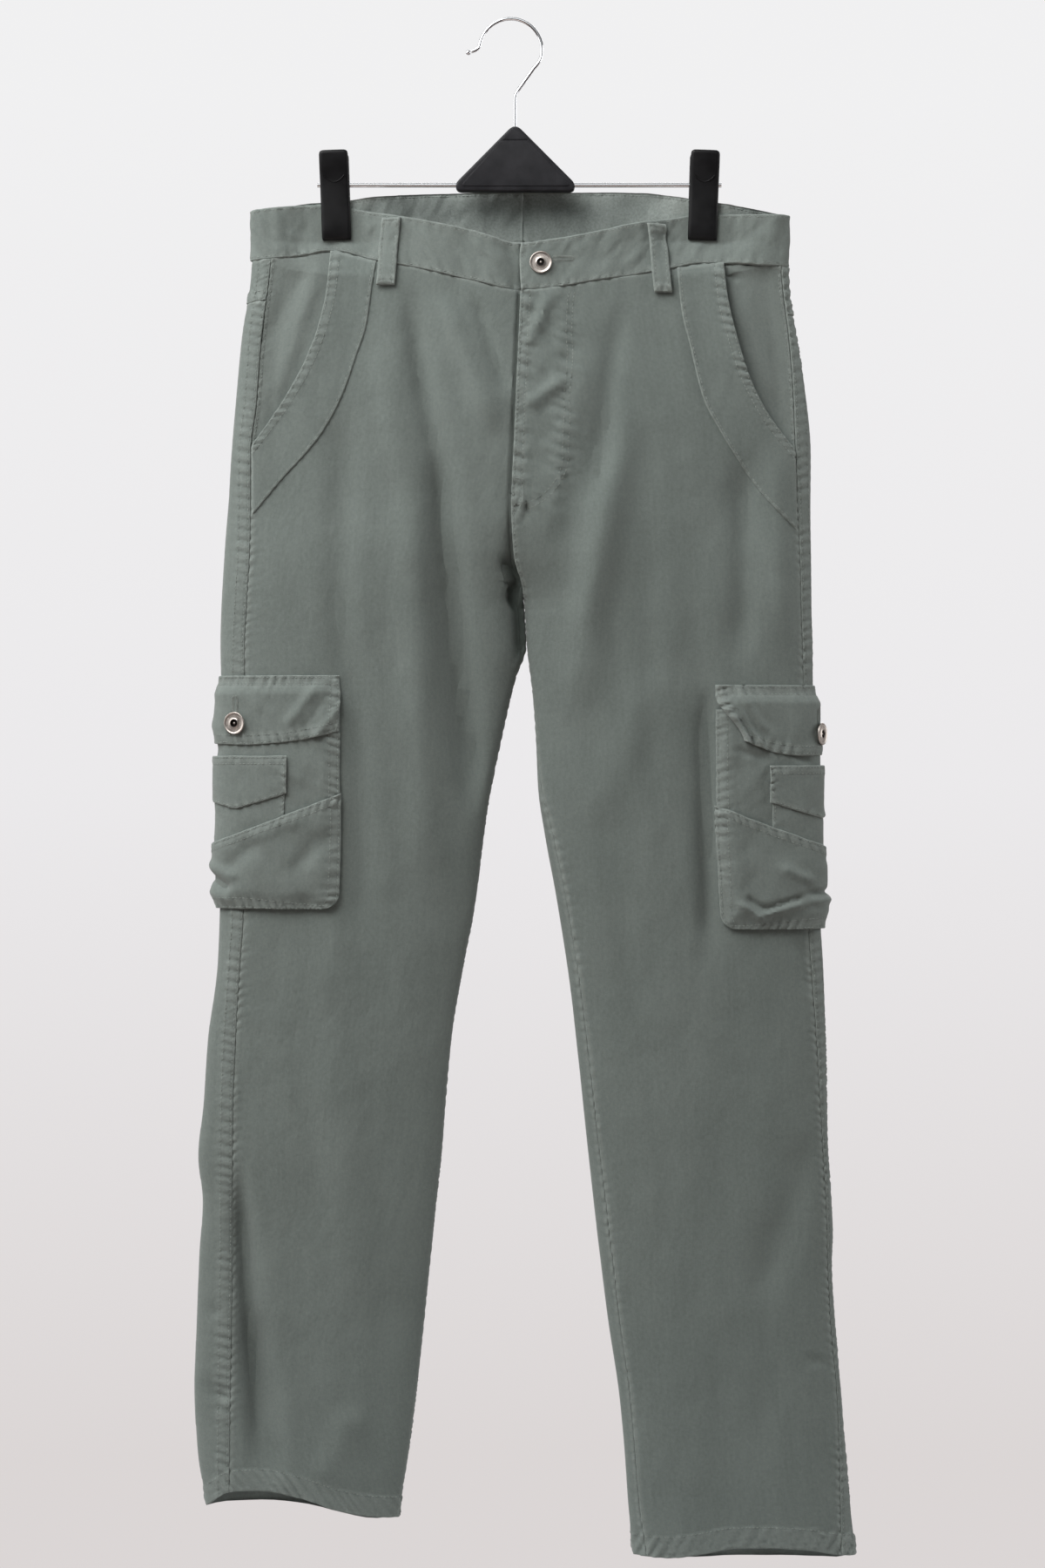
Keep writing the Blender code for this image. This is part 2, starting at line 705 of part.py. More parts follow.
def waistband_stations(side):
    """Places across the waistband where its wall has a column of corners."""
    leg = LEGS[side]
    outer = float(leg.section["outer"](WAIST_MIDDLE))
    centre = float(leg.inner(WAIST_MIDDLE))
    shared = [outer - side * step for step in (1.2, 5, 12, 24, 38, 92, 150, 182)]
    shared += [CLIP_CENTRES[side] + step for step in (-PINCH_FLAT, 0, PINCH_FLAT)]
    front, back = list(shared), shared + [centre]
    front += [centre, UNDERLAP_STARTS, -4.0, UNDERLAP_END] if side < 0 else [centre, centre + 26]
    beside_loop = LOOP_WIDTH / 2 + 2
    for row in LOOPS:
        loop = dict(zip(LOOP_COLUMNS, row))
        if loop["side"] == side and abs(loop["x_top"] - centre) > 20:
            places = front if loop["face"] > 0 else back
            places += [loop["x_top"] - beside_loop, loop["x_top"] + beside_loop]
    return front, back


def waistband(side):
    """Half of the waistband, from the front end round the side to mid back."""
    leg = LEGS[side]
    front, back = waistband_stations(side)
    angles = [float(leg.angle_at(x, WAIST_MIDDLE)) for x in front] + [0.0]
    angles += [float(leg.angle_at(x, WAIST_MIDDLE, front=False)) for x in back]
    angles = np.array(sorted(angles))
    x = leg.point(angles, WAIST_MIDDLE)[..., 0]
    ahead = angles >= 0
    top = np.where(ahead, WAIST["front_top"](x), WAIST["back_top"](x))
    bottom = np.where(ahead, waist_bottom(x, True), waist_bottom(x, False))
    held = [WAIST[edge](CLIP_CENTRES[side]) - PINCH_ENDS for edge in ("front_top", "back_top")]
    under_jaw = np.abs(x - CLIP_CENTRES[side]) < PINCH_FLAT + 2
    jaw_ends = np.where(under_jaw, PINCH_ENDS, top - np.where(ahead, held[0], held[1]))
    heights = np.array([top, 0.5 * (top + jaw_ends), jaw_ends, 0.5 * (jaw_ends + bottom), bottom])
    sunk = np.zeros(x.shape)
    if side < 0:
        under = smoothstep((x - UNDERLAP_STARTS) / (leg.inner(WAIST_MIDDLE) - 4 - UNDERLAP_STARTS))
        sunk = np.where(ahead, under, 0) * (WAISTBAND_CLOTH + LAY_GAP)
    return cloth_wall(f"waistband_{SIDE_NAMES[side]}", leg, angles[None, :], heights,
                      WAISTBAND_PROUD - sunk[None, :], WAISTBAND_CLOTH)


def fly_strip(name, x_from, x_to, z_top, z_bottom, sunk, thickness, finish):
    """A strip behind the fly opening, beside the middle seam."""
    leg = LEGS[-1]
    heights = np.linspace(z_top, z_bottom, 8)[:, None]
    x = leg.section["inner"](heights) + np.linspace(x_from, x_to, 4)
    heights = np.broadcast_to(heights, x.shape)
    return cloth_wall(name, leg, leg.angle_at(x, heights), heights, -sunk, thickness, finish)


def belt_loop(name, side, face, x_top, x_bottom, z_top, z_bottom):
    """A strip sewn at both ends that stands off the waistband between them."""
    leg = LEGS[side]
    share = np.linspace(0, 1, 8)[:, None]
    across = np.array([-1, 1]) * LOOP_WIDTH / 2 * -side * face
    x = x_top + (x_bottom - x_top) * share + across
    heights = np.broadcast_to(z_top + (z_bottom - z_top) * share, x.shape)
    arched = np.sin(np.pi * share) ** 0.5
    lift = WAISTBAND_PROUD + LAY_GAP + LOOP_SEAT + LOOP_ARCH * arched + LOOP_CLOTH
    angles = leg.angle_at(x, heights, front=face > 0)
    return cloth_wall(name, leg, angles, heights, lift, LOOP_CLOTH)


def pocket_columns(pocket, half_width):
    """Distances round the leg, close together over the side fold."""
    front, back = pocket["middle"] + half_width, pocket["middle"] - half_width
    widest = pocket["middle"] + POCKET_HALF_WIDTH, pocket["middle"] - POCKET_HALF_WIDTH
    places = [-30, -16, -8, -3, 3, 8, 16, 30, 0.5 * (widest[1] - 30)]
    places += [30 + (widest[0] - 30) * share for share in (0.35, 0.7)]
    inside = [place for place in places if back + 3 < place < front - 3]
    return np.array(sorted([back, front] + inside))


def body_lift(pocket, distance, z):
    """Height of a cargo pocket's outer face above the leg."""
    from_sides = POCKET_HALF_WIDTH - np.abs(distance - pocket["middle"])
    from_bottom = z - pocket["bottom"]
    rise = smoothstep(np.minimum(from_sides, from_bottom) / POCKET_RISE)
    return POCKET_EDGE_LIFT + (POCKET_LIFT - POCKET_EDGE_LIFT) * rise


def cargo_body(pocket):
    """The pocket bag: sewn down at its sides and bottom, open under the flap."""
    leg = LEGS[pocket["side"]]
    corner = POCKET_CORNER
    heights = np.linspace(pocket["mouth"], pocket["bottom"] + corner, 9)
    heights = np.append(heights, [pocket["bottom"] + corner * 0.35, pocket["bottom"]])
    below = np.maximum(pocket["bottom"] + corner - heights, 0)
    rounding = corner - np.sqrt(np.maximum(corner ** 2 - below ** 2, 0))
    widest = pocket_columns(pocket, POCKET_HALF_WIDTH) - pocket["middle"]
    shrink = 1 - rounding[:, None] / POCKET_HALF_WIDTH * (np.abs(widest) > 40)
    distance = pocket["middle"] + widest * shrink
    heights = np.broadcast_to(heights[:, None], distance.shape)
    angles = leg.angle_round(distance, heights)
    return cloth_wall(f"cargo_pocket_{SIDE_NAMES[pocket['side']]}", leg, angles, heights,
                      body_lift(pocket, distance, heights), POCKET_CLOTH)


def cargo_patch(name, pocket, half_width, top, bottom, rows, lift):
    """A piece lying on a cargo pocket, between two edges given across it."""
    leg = LEGS[pocket["side"]]
    across = pocket_columns(pocket, half_width)
    share = np.linspace(0, 1, rows + 1)[:, None]
    heights = top(across) + (bottom(across) - top(across)) * share
    distance = np.broadcast_to(across, heights.shape)
    angles = leg.angle_round(distance, heights)
    return cloth_wall(name, leg, angles, heights, lift(distance, heights), LIGHT_CLOTH)


def level(height):
    """An edge at one height all the way across."""
    return lambda distance: np.full(distance.shape, height)


def cargo_pocket(row):
    """All the pieces of one cargo pocket."""
    pocket = dict(zip(POCKET_COLUMNS, row))
    side = SIDE_NAMES[pocket["side"]]
    middle, half = pocket["middle"], POCKET_HALF_WIDTH
    layer = LAY_GAP + LIGHT_CLOTH
    cargo_body(pocket)

    def cut_edge(distance):
        return pocket["cut_front"] - pocket["cut_fall"] * (middle + half - distance) / (2 * half)

    def cover_lift(distance, z):
        inside = np.minimum(half - np.abs(distance - middle), z - pocket["bottom"])
        return body_lift(pocket, distance, z) + layer * (1 + smoothstep(inside / 20))

    cargo_patch(f"cargo_pocket_cover_{side}", pocket, half, cut_edge,
                level(pocket["bottom"] + POCKET_CORNER), 5, cover_lift)

    small_top = pocket["small_top"]
    cargo_patch(f"small_pocket_{side}", pocket, SMALL_HALF_WIDTH, level(small_top - 4.0),
                lambda d: cut_edge(d) - 9.0, 3, lambda d, z: body_lift(pocket, d, z) + layer)

    def small_flap_edge(distance):
        return small_top - 30.0 - 10.0 * (1 - ((distance - middle) / SMALL_FLAP_HALF_WIDTH) ** 2)

    cargo_patch(f"small_pocket_flap_{side}", pocket, SMALL_FLAP_HALF_WIDTH, level(small_top),
                small_flap_edge, 2, lambda d, z: body_lift(pocket, d, z) + 2 * layer)

    def flap_edge(distance):
        share = 1 - ((distance - middle) / half) ** 2
        drop = pocket["flap_drop"] + (pocket["flap_point"] - pocket["flap_drop"]) * share
        return pocket["flap_top"] - drop

    def flap_lift(distance, z):
        over_mouth = smoothstep((pocket["flap_top"] - 4 - z) / 11)
        standing = body_lift(pocket, distance, pocket["mouth"] - 40) + layer
        return FLAP_SEWN_LIFT + (standing - FLAP_SEWN_LIFT) * over_mouth

    cargo_patch(f"cargo_flap_{side}", pocket, half, level(pocket["flap_top"]), flap_edge, 5,
                flap_lift)
    cargo_button(pocket, flap_lift)


def turned(name, profile, steps, finish):
    """A solid turned about local Z from a profile of radius and height."""
    mesh = bpy.data.meshes.new(name)
    vertices = [(radius * MM, 0, height * MM) for radius, height in profile]
    edges = [(k, k + 1) for k in range(len(profile) - 1)]
    if profile[0][0] > 0:
        edges.append((len(profile) - 1, 0))
    mesh.from_pydata(vertices, edges, [])
    obj = add_object(name, mesh, finish)
    screw = obj.modifiers.new("turning", "SCREW")
    screw.steps = steps
    screw.render_steps = steps
    screw.use_merge_vertices = True
    screw.merge_threshold = 0.00001
    return obj


def button(name, centre, normal):
    """A shank button with a dished ring and a rivet in its hollow."""
    profile = [(0, -0.1), (1.4, -0.5), (2.4, -1.3), (3.1, -0.1), (4.0, 0.4), (7.4, 0.2),
               (8.3, 0.3), (BUTTON_RADIUS, -0.4), (8.3, -1.5), (3.2, -BUTTON_SEAT),
               (0, -BUTTON_SEAT)]
    obj = turned(name, profile, 20, "nickel")
    direction = Vector(normal)
    obj.location = Vector(centre) * MM
    obj.rotation_euler = direction.to_track_quat("Z", "Y").to_euler()
    return obj


def cargo_button(pocket, flap_lift):
    side = pocket["side"]
    leg = LEGS[side]
    z = np.array([pocket["flap_top"] - pocket["flap_point"] + CARGO_BUTTON_RISE])
    distance = np.array([pocket["button_turn"]])
    angle = leg.angle_round(distance, z)
    standing = flap_lift(distance, z) + BUTTON_SEAT + LAY_GAP
    centre = leg.lifted(angle, z, standing)[0]
    normal = leg.outward(angle, z)[0]
    return button(f"cargo_button_{SIDE_NAMES[side]}", centre, normal)


def waist_button():
    leg = LEGS[1]
    x, z = (np.array([place]) for place in WAIST_BUTTON_PLACE)
    angle = leg.angle_at(x, z)
    standing = WAISTBAND_PROUD + BUTTON_SEAT + LAY_GAP
    centre = leg.lifted(angle, z, np.array([standing]))[0]
    return button("waist_button", centre, leg.outward(angle, z)[0])


def wire(name, points, radius, finish):
    """A round wire along points, with closed ends."""
    curve = bpy.data.curves.new(name, "CURVE")
    curve.dimensions = "3D"
    curve.bevel_depth = radius * MM
    curve.bevel_resolution = 2
    curve.use_fill_caps = True
    spline = curve.splines.new("POLY")
    spline.points.add(len(points) - 1)
    for spot, (x, y, z) in zip(spline.points, points):
        spot.co = (x * MM, y * MM, z * MM, 1)
    return add_object(name, curve, finish)


def bend(start, corner, end, steps):
    """Points of a smooth bend from start to end round a corner."""
    points = []
    for k in range(steps + 1):
        t = k / steps
        points.append(tuple((1 - t) ** 2 * a + 2 * t * (1 - t) * b + t * t * c
                            for a, b, c in zip(start, corner, end)))
    return points


def hook_route():
    """Middle line of the hook: tip, round arc, slanted neck and stem."""
    middle_z = HOOK_WIRE - HOOK_RADIUS
    arc = []
    for degrees in range(170, -16, -8):
        turn = math.radians(degrees)
        arc.append((HOOK_RADIUS * math.cos(turn), 0, middle_z + HOOK_RADIUS * math.sin(turn)))
    tip = bend((-31.0, 0, -24.3), (-24.9, 0, -22.9), arc[0], 4)
    shoulder = bend(arc[-1], (22.4, 0, -33.0), (18.2, 0, -37.2), 3)
    foot = bend((5.4, 0, -55.2), (STEM_X, 0, -58.4), (STEM_X, 0, -62.0), 3)
    stem_end = (STEM_X, 0, APEX_HEIGHT - STEM_SOCKET + BORE_CLEARANCE)
    return tip[:-1] + arc + shoulder[1:] + foot + [stem_end]


def plate(name, outline, half_depth, rotation, bevel, finish):
    """A flat outline extruded both ways, with softened edges."""
    curve = bpy.data.curves.new(name + "_outline", "CURVE")
    curve.dimensions = "2D"
    curve.fill_mode = "BOTH"
    curve.extrude = half_depth * MM
    spline = curve.splines.new("POLY")
    spline.points.add(len(outline) - 1)
    for spot, (a, b) in zip(spline.points, outline):
        spot.co = (a * MM, b * MM, 0, 1)
    spline.use_cyclic_u = True
    source = bpy.data.objects.new(name + "_outline", curve)
    PARTS.objects.link(source)
    bpy.context.view_layer.update()
    evaluated = source.evaluated_get(bpy.context.evaluated_depsgraph_get())
    mesh = bpy.data.meshes.new_from_object(evaluated)
    bpy.data.objects.remove(source, do_unlink=True)
    shape = bmesh.new()
    shape.from_mesh(mesh)
    bmesh.ops.remove_doubles(shape, verts=shape.verts, dist=0.000001)
    bmesh.ops.dissolve_limit(shape, angle_limit=0.01, verts=shape.verts, edges=shape.edges)
    bmesh.ops.recalc_face_normals(shape, faces=shape.faces)
    shape.to_mesh(mesh)
    shape.free()
    obj = add_object(name, mesh, finish)
    obj.rotation_euler = rotation
    if bevel:
        soften = obj.modifiers.new("softened_edges", "BEVEL")
        soften.width = bevel * MM
        soften.segments = 2
        soften.limit_method = "ANGLE"
        soften.angle_limit = math.radians(40)
    return obj


def cylinder(name, radius, length, location, rotation, finish=None):
    bpy.ops.mesh.primitive_cylinder_add(vertices=24, radius=radius * MM, depth=length * MM,
                                        location=Vector(location) * MM, rotation=rotation)
    obj = bpy.context.object
    obj.name = name
    for group in list(obj.users_collection):
        group.objects.unlink(obj)
    PARTS.objects.link(obj)
    if finish:
        finish_with(obj, finish)
    return obj


def cut(obj, cutter):
    boolean = obj.modifiers.new("cut_" + cutter.name, "BOOLEAN")
    boolean.operation = "DIFFERENCE"
    boolean.object = as_cutter(cutter)


def centre_piece():
    piece = plate("hanger_centre", CENTRE_PIECE_OUTLINE, CENTRE_PIECE_DEPTH,
                  (math.pi / 2, 0, 0), 0.8, "plastic")
    socket = cylinder("stem_socket", HOOK_WIRE + BORE_CLEARANCE, 2 * STEM_SOCKET,
                      (STEM_X, 0, APEX_HEIGHT), (0, 0, 0))
    passage = cylinder("bar_passage", BAR_WIRE + BORE_CLEARANCE, 120,
                       (STEM_X, 0, BAR_HEIGHT), (0, math.pi / 2, 0))
    cut(piece, socket)
    cut(piece, passage)
    return piece


def clip_jaw(side, face):
    """One lever of a clip: a grip above the bar and a pad below it."""
    outline = (
        (8.6, JAW_TOP), (12.4, JAW_TOP), (10.6, -113.0), (7.8, -127.0), (6.9, -140.0),
        (6.2, JAW_BOTTOM + 1.0), (5.2, JAW_BOTTOM), (JAW_INNER, JAW_BOTTOM),
        (JAW_INNER, -148.0), (3.9, -136.0), (3.9, -125.0),
    )
    where = "front" if face > 0 else "back"
    name = f"clip_{SIDE_NAMES[side]}_{where}"
    jaw = plate(name, [(-face * y, z - BAR_HEIGHT) for y, z in outline], JAW_WIDTH / 2,
                (math.pi / 2, 0, math.pi / 2), 0.5, "plastic")
    turn = Matrix.Rotation(side * CLIP_TILT, 4, "Y")
    stand = jaw.rotation_euler.to_matrix().to_4x4()
    place = Matrix.Translation(Vector((CLIP_CENTRES[side], 0, BAR_HEIGHT)) * MM)
    jaw.matrix_world = place @ turn @ stand
    return jaw


def clip_spring(side):
    """The coil on the bar that both levers of a clip turn about."""
    inner = BAR_WIRE + BORE_CLEARANCE
    profile = [(3.5, 7.0), (3.5, -7.0), (inner, -7.0), (inner, 7.0)]
    spring = turned(f"clip_spring_{SIDE_NAMES[side]}", profile, 20, "steel")
    spring.location = Vector((CLIP_CENTRES[side], 0, BAR_HEIGHT)) * MM
    spring.rotation_euler = (0, math.pi / 2, 0)
    return spring


def hanger():
    wire("hanger_hook", hook_route(), HOOK_WIRE, "chrome")
    bpy.ops.mesh.primitive_uv_sphere_add(segments=14, ring_count=9, radius=2.0 * MM,
                                         location=Vector((-33.2, 0, -25.1)) * MM)
    tip = bpy.context.object
    tip.name = "hanger_hook_tip"
    for group in list(tip.users_collection):
        group.objects.unlink(tip)
    PARTS.objects.link(tip)
    finish_with(tip, "chrome")
    centre_piece()
    length = BAR_ENDS[1] - BAR_ENDS[0]
    cylinder("hanger_bar", BAR_WIRE, length, (sum(BAR_ENDS) / 2, 0, BAR_HEIGHT),
             (0, math.pi / 2, 0), "chrome")
    for side in LEGS:
        clip_spring(side)
        for face in (1, -1):
            clip_jaw(side, face)


def trousers():
    for side in LEGS:
        front_panel(side)
        back_panel(side)
        back_yoke(side)
        hip_facing(side)
        hip_band(side)
        waistband(side)
    behind_fly = TWILL + LAY_GAP
    fly_strip("fly_zip", -10.0, 14.0, -216.0, -372.0, behind_fly, LIGHT_CLOTH, "tape")
    fly_strip("fly_shield", -12.0, 34.0, -216.0, -386.0, behind_fly + LIGHT_CLOTH + LAY_GAP,
              TWILL, "twill")
    for row in LOOPS:
        belt_loop(*row)
    for row in POCKETS:
        cargo_pocket(row)
    waist_button()


clear_scene()
PARTS = collection("cargo_trousers_on_clip_hanger")
CUTTERS = collection("cutters")
trousers()
hanger()
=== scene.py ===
"""The looks of cargo trousers that hang by two clips from a wire trouser hanger.

Frame: metres, +Z up. The front of the trousers faces -Y and the wearer's right
leg is on the -X side. The origin is where the hook bears on a rail. Tables and
sizes are in millimetres, apart from the lamps and the camera.

Every cut piece is a wall of cloth over the same form as the model's solids: a
place on a leg is an angle, 0 on the side fold, positive round the front and
negative round the back, and a height. Distances off the form are outwards.
"""

import math

import bmesh
import bpy
import numpy as np
from mathutils import Matrix, Vector


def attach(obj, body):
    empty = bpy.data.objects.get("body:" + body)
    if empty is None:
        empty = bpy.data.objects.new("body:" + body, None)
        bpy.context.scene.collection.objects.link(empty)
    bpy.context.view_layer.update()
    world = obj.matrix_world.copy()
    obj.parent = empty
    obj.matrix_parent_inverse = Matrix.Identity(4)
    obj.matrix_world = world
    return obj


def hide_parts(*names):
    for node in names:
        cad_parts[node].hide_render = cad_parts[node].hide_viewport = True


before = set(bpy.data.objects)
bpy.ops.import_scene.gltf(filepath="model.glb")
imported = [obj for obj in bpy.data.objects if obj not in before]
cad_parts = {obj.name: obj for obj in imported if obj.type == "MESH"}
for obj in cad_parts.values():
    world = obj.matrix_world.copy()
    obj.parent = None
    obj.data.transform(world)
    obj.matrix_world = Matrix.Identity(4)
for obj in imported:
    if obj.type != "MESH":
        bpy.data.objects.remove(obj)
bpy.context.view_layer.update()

MM = 0.001
SIDE_NAMES = {-1: "right", 1: "left"}

# Cloth thicknesses and clearances
TWILL = 1.3
POCKET_CLOTH = 1.1
LIGHT_CLOTH = 1.0
WAISTBAND_CLOTH = 2.2
SEAM_GAP = 0.3
LAY_GAP = 0.45
SEWN_GAP = 0.04
CURVED_SEAM_GAP = 0.35

# Form of the body: where the two half rings close into legs
CROTCH_HEIGHT = -462.0
FRONT_RISE_TURNS = -367.0
BACK_RISE_TURNS = -315.0
FOLD_RADIUS = 3.2
FOLD_REACH = 26.0

# Cloth nearer than this to the middle plane has no creases or waves
FLAT_DEPTH = 6.0

# Rings on which distances round a leg are measured
RING_SPACING = 4.0
LAST_BACK_ANGLE = -4.1

# How strong the seams' puckers and the creases are. The back takes the front's creases of the
# other leg, mirrored and shallower.
PUCKERING = 2.1
CREASING = {1: 2.0, -1: 1.1}
RIDGE_ENDS = 0.25

# A row of stitches sinks in, with painted shade in its groove; edges, hem strips, their ridges and
# small pieces wear lighter; the waistband, its inside and the hip facings are painted lighter as
# light
ROW_SINKS = 0.22
ROW_PAINTED_SHADE = -0.27
EDGE_WEAR = 0.30
RIDGE_WEAR = 0.24
STRIP_WEAR = 0.17
STEP_WEAR = 0.10
SMALL_PIECE_WEAR = 0.12
WAISTBAND_PAINTED_LIGHT = 0.14
WAISTBAND_INSIDE_PAINTED_LIGHT = 0.8
FACING_PAINTED_LIGHT = 0.2

# Waistband
WAISTBAND_PROUD = 0.8
UNDERLAP_END = 46.0
UNDERLAP_STARTS = -16.0
BACK_LEAN = 4.5
WAIST_MIDDLE = -170.0

# Clips of the hanger
CLIP_CENTRES = {-1: -137.7, 1: 151.3}
CLIP_TILT = math.radians(2.0)
PINCH_DEPTH = 1.6
PINCH_FLAT = 14.5
PINCH_SPREAD = 30.0
PINCH_RELEASE = 0.45
PINCH_ENDS = -174.5
PRESSED_SPREAD = 12.0
PRESSED_ENDS = -200.0

# Cargo pockets
POCKET_HALF_WIDTH = 81.0
POCKET_CORNER = 12.0
POCKET_EDGE_LIFT = 2.2
POCKET_LIFT = 4.6
POCKET_RISE = 14.0
FLAP_SEWN_LIFT = 1.6
SMALL_HALF_WIDTH = 38.0
SMALL_FLAP_HALF_WIDTH = 40.0

BUTTON_SEAT = 2.2
CARGO_BUTTON_RISE = 17.0
WAIST_BUTTON_PLACE = (23.5, -191.8)

# Sections of each leg. outseam: place of the side seam on the front;
# inseam: how far the inner seam lies in from the inner fold on the front.
SECTION_COLUMNS = ("height", "outer", "inner", "outseam", "inseam")
SECTIONS = {
    -1: (
        (-130, -203.5, 9.5, -184, 0), (-190, -203, 8.5, -187.5, 0), (-250, -210.8, 6, -194.8, 0),
        (-300, -215.5, 3.8, -198.5, 0), (-340, -218.8, 2, -203, 0), (-381, -221.5, 0.4, -203, 0),
        (-421, -224.5, 2.6, -203.6, 0), (-443, -225.8, 8.6, -205, 0), (-462, -226.8, 10.8, -206, 0),
        (-490, -227.5, 12.2, -207.5, 0), (-515, -227, 4, -207.6, 0), (-562, -226, -7.1, -207.8, 0),
        (-617, -226, -18, -208, 0), (-697, -228, -28.6, -208.4, 0),
        (-738, -229.5, -36.5, -211.1, 0), (-796, -237, -46.2, -214.5, 0),
        (-851, -241, -51.2, -216.6, 0), (-889, -244.8, -54.2, -217, 0),
        (-925, -241.4, -58.2, -217.3, 0), (-970, -244.2, -62.8, -217.3, 0),
        (-1044, -247, -70.4, -218.2, 0), (-1068, -247.8, -73.1, -218.6, 0),
        (-1115, -245.8, -79, -219.2, 0), (-1163, -238.4, -86.6, -219.5, 0),
        (-1180, -236.6, -88.8, -219.6, 0),
    ),
    1: (
        (-130, 219.5, 9.5, 208, 0), (-190, 217.2, 8.5, 211.1, 0), (-218, 218.6, 7.4, 214, 0),
        (-250, 224, 6, 218, 0), (-300, 232, 3.8, 221.4, 0), (-340, 235, 2, 222.8, 0),
        (-381, 234.9, 0.4, 224.6, 0), (-421, 235.4, 2.6, 226, 0), (-443, 235.6, 8.6, 226.6, 0),
        (-462, 235.8, 10.8, 227, 0), (-490, 236.6, 12.6, 228, 0), (-530, 236.8, 17.3, 229, 0),
        (-562, 237.2, 19.7, 229.5, 0.5), (-601, 238, 21.4, 230, 2.5),
        (-639, 239.2, 26.9, 230.6, 6.5), (-687, 241.4, 35.7, 231.5, 7.5),
        (-758, 245.6, 46.6, 236.2, 8), (-806, 246.6, 52, 239.6, 8.5), (-877, 247.6, 59.5, 243.6, 9),
        (-925, 250.6, 64.9, 246.4, 9.5), (-949, 251.7, 67.6, 247.4, 9.5),
        (-972, 250.8, 70.4, 247.8, 9.5), (-1020, 253.4, 76.5, 250.2, 9),
        (-1074, 258, 84.6, 255, 8.5), (-1115, 261.2, 88.7, 256.8, 8),
        (-1163, 265.8, 92.1, 257.6, 8.5), (-1200, 270.3, 95.5, 258.2, 11),
        (-1216, 271.8, 97, 258.4, 11.5),
    ),
}

# How far the cloth stands off the middle plane, front and back
DEPTH_COLUMNS = ("height", "front", "back")
DEPTHS = (
    (-130, 12.5, 17), (-190, 15.5, 22), (-250, 20.5, 29), (-320, 25, 35), (-400, 26, 34),
    (-500, 24, 29), (-620, 22, 25), (-760, 19.5, 22), (-900, 18, 20), (-1060, 16.5, 18),
    (-1216, 16, 17),
)

# Waistband edges from the wearer's right side to the left
WAIST_COLUMNS = ("across", "front_top", "front_bottom", "back_top", "back_bottom")
WAIST_EDGES = (
    (-206, -149.6, -189.2, -149.6, -189.2), (-184, -147.2, -187.4, -147, -187),
    (-162, -145.4, -184.9, -144, -184), (-138, -145.2, -180.6, -142, -182),
    (-126, -147.3, -183.4, -141, -181), (-104, -151.4, -189.7, -137.1, -177.1),
    (-72, -157, -195.8, -133.9, -173.9), (-31, -165.9, -205.4, -132.5, -172.5),
    (8, -175.6, -213.2, -132.2, -172.2), (37, -172.2, -210.6, -132.2, -172.2),
    (64, -167.3, -206, -132.2, -172.2), (102, -159, -200.2, -133.4, -173.4),
    (124, -155.8, -196.2, -136.9, -176.9), (151, -152.4, -191.4, -141.4, -181.4),
    (170, -152.2, -191.2, -144, -184), (196, -152.6, -193, -148.2, -189.2),
    (222, -153, -193.4, -153, -193.4),
)

# Hem edges of each leg
HEM_COLUMNS = ("across", "front", "back")
HEMS = {
    -1: (
        (-239, -1163, -1163), (-219, -1150, -1161.5), (-197, -1148.6, -1161.4),
        (-161, -1155.3, -1164.6), (-136, -1164, -1171), (-108, -1169.6, -1175.5),
        (-86, -1171.4, -1171.4),
    ),
    1: (
        (95, -1200.2, -1200.2), (122, -1201.6, -1206.6), (149, -1198.2, -1206.4),
        (176, -1193.6, -1205.2), (201, -1193.4, -1205), (234, -1195.4, -1205.4),
        (256, -1199.6, -1205.4), (271, -1201, -1201),
    ),
}

# Front hip pockets, as heights and places across: the opening, and the inner edge of the band
# sewn along it
POCKET_MOUTHS = {
    -1: (
        (-176, -140.6), (-213, -143.8), (-239, -149.3), (-264, -158.1), (-283, -167.6),
        (-303, -179.9), (-334, -202),
    ),
    1: (
        (-186, 165.8), (-218, 169), (-246, 175.1), (-275, 183.3), (-305, 197.5), (-338, 222),
    ),
}
BAND_EDGES = {
    -1: (
        (-184, -103.6), (-213, -108.5), (-241, -112.5), (-264, -120), (-295, -130.9),
        (-323, -145.9), (-339, -158.1), (-361, -178.5), (-389, -202),
    ),
    1: (
        (-192, 129.6), (-227, 132.9), (-260, 140.4), (-298, 149.9), (-324, 163.5), (-354, 182.6),
        (-374, 197.5), (-401, 223.6),
    ),
}
MOUTH_ENDS = {-1: -334.0, 1: -338.0}
BAND_ENDS = {-1: -389.0, 1: -401.0}
BAND_LIFT = 1.25
BAND_WIDTH = 40.0

# Back yoke seam, from the side seam to the middle of the back
YOKE_AT_SIDE = {-1: -220.0, 1: -231.0}
YOKE_AT_CENTRE = -250.0

# Folds and creases: troughs are negative, ridges positive. All these tables have the columns
# x_from, z_from, x_to, z_to, width and lift; x is a distance round the leg on a cargo pocket.
# The largest folds, which the model has too, are by leg and face; face 1 is the front.
FOLDS = {
    (-1, 1): (
        (-62, -375, -36, -585, 15, -3), (-84, -360, -72, -600, 17, 2.2),
        (-214, -900, -184, -1125, 12, -3.6), (-150, -700, -120, -930, 24, 2),
    ),
    (1, 1): (
        (145, -360, 142, -690, 18, -2.6), (105, -400, 112, -760, 20, 2),
        (238, -860, 190, -1012, 14, -3.6), (120, -800, 150, -1080, 26, 2),
    ),
    (-1, -1): (
        (-110, -420, -92, -760, 22, -3), (-170, -820, -150, -1080, 18, 2.4),
    ),
    (1, -1): (
        (122, -430, 110, -800, 22, -3), (180, -860, 200, -1100, 18, 2.4),
    ),
}

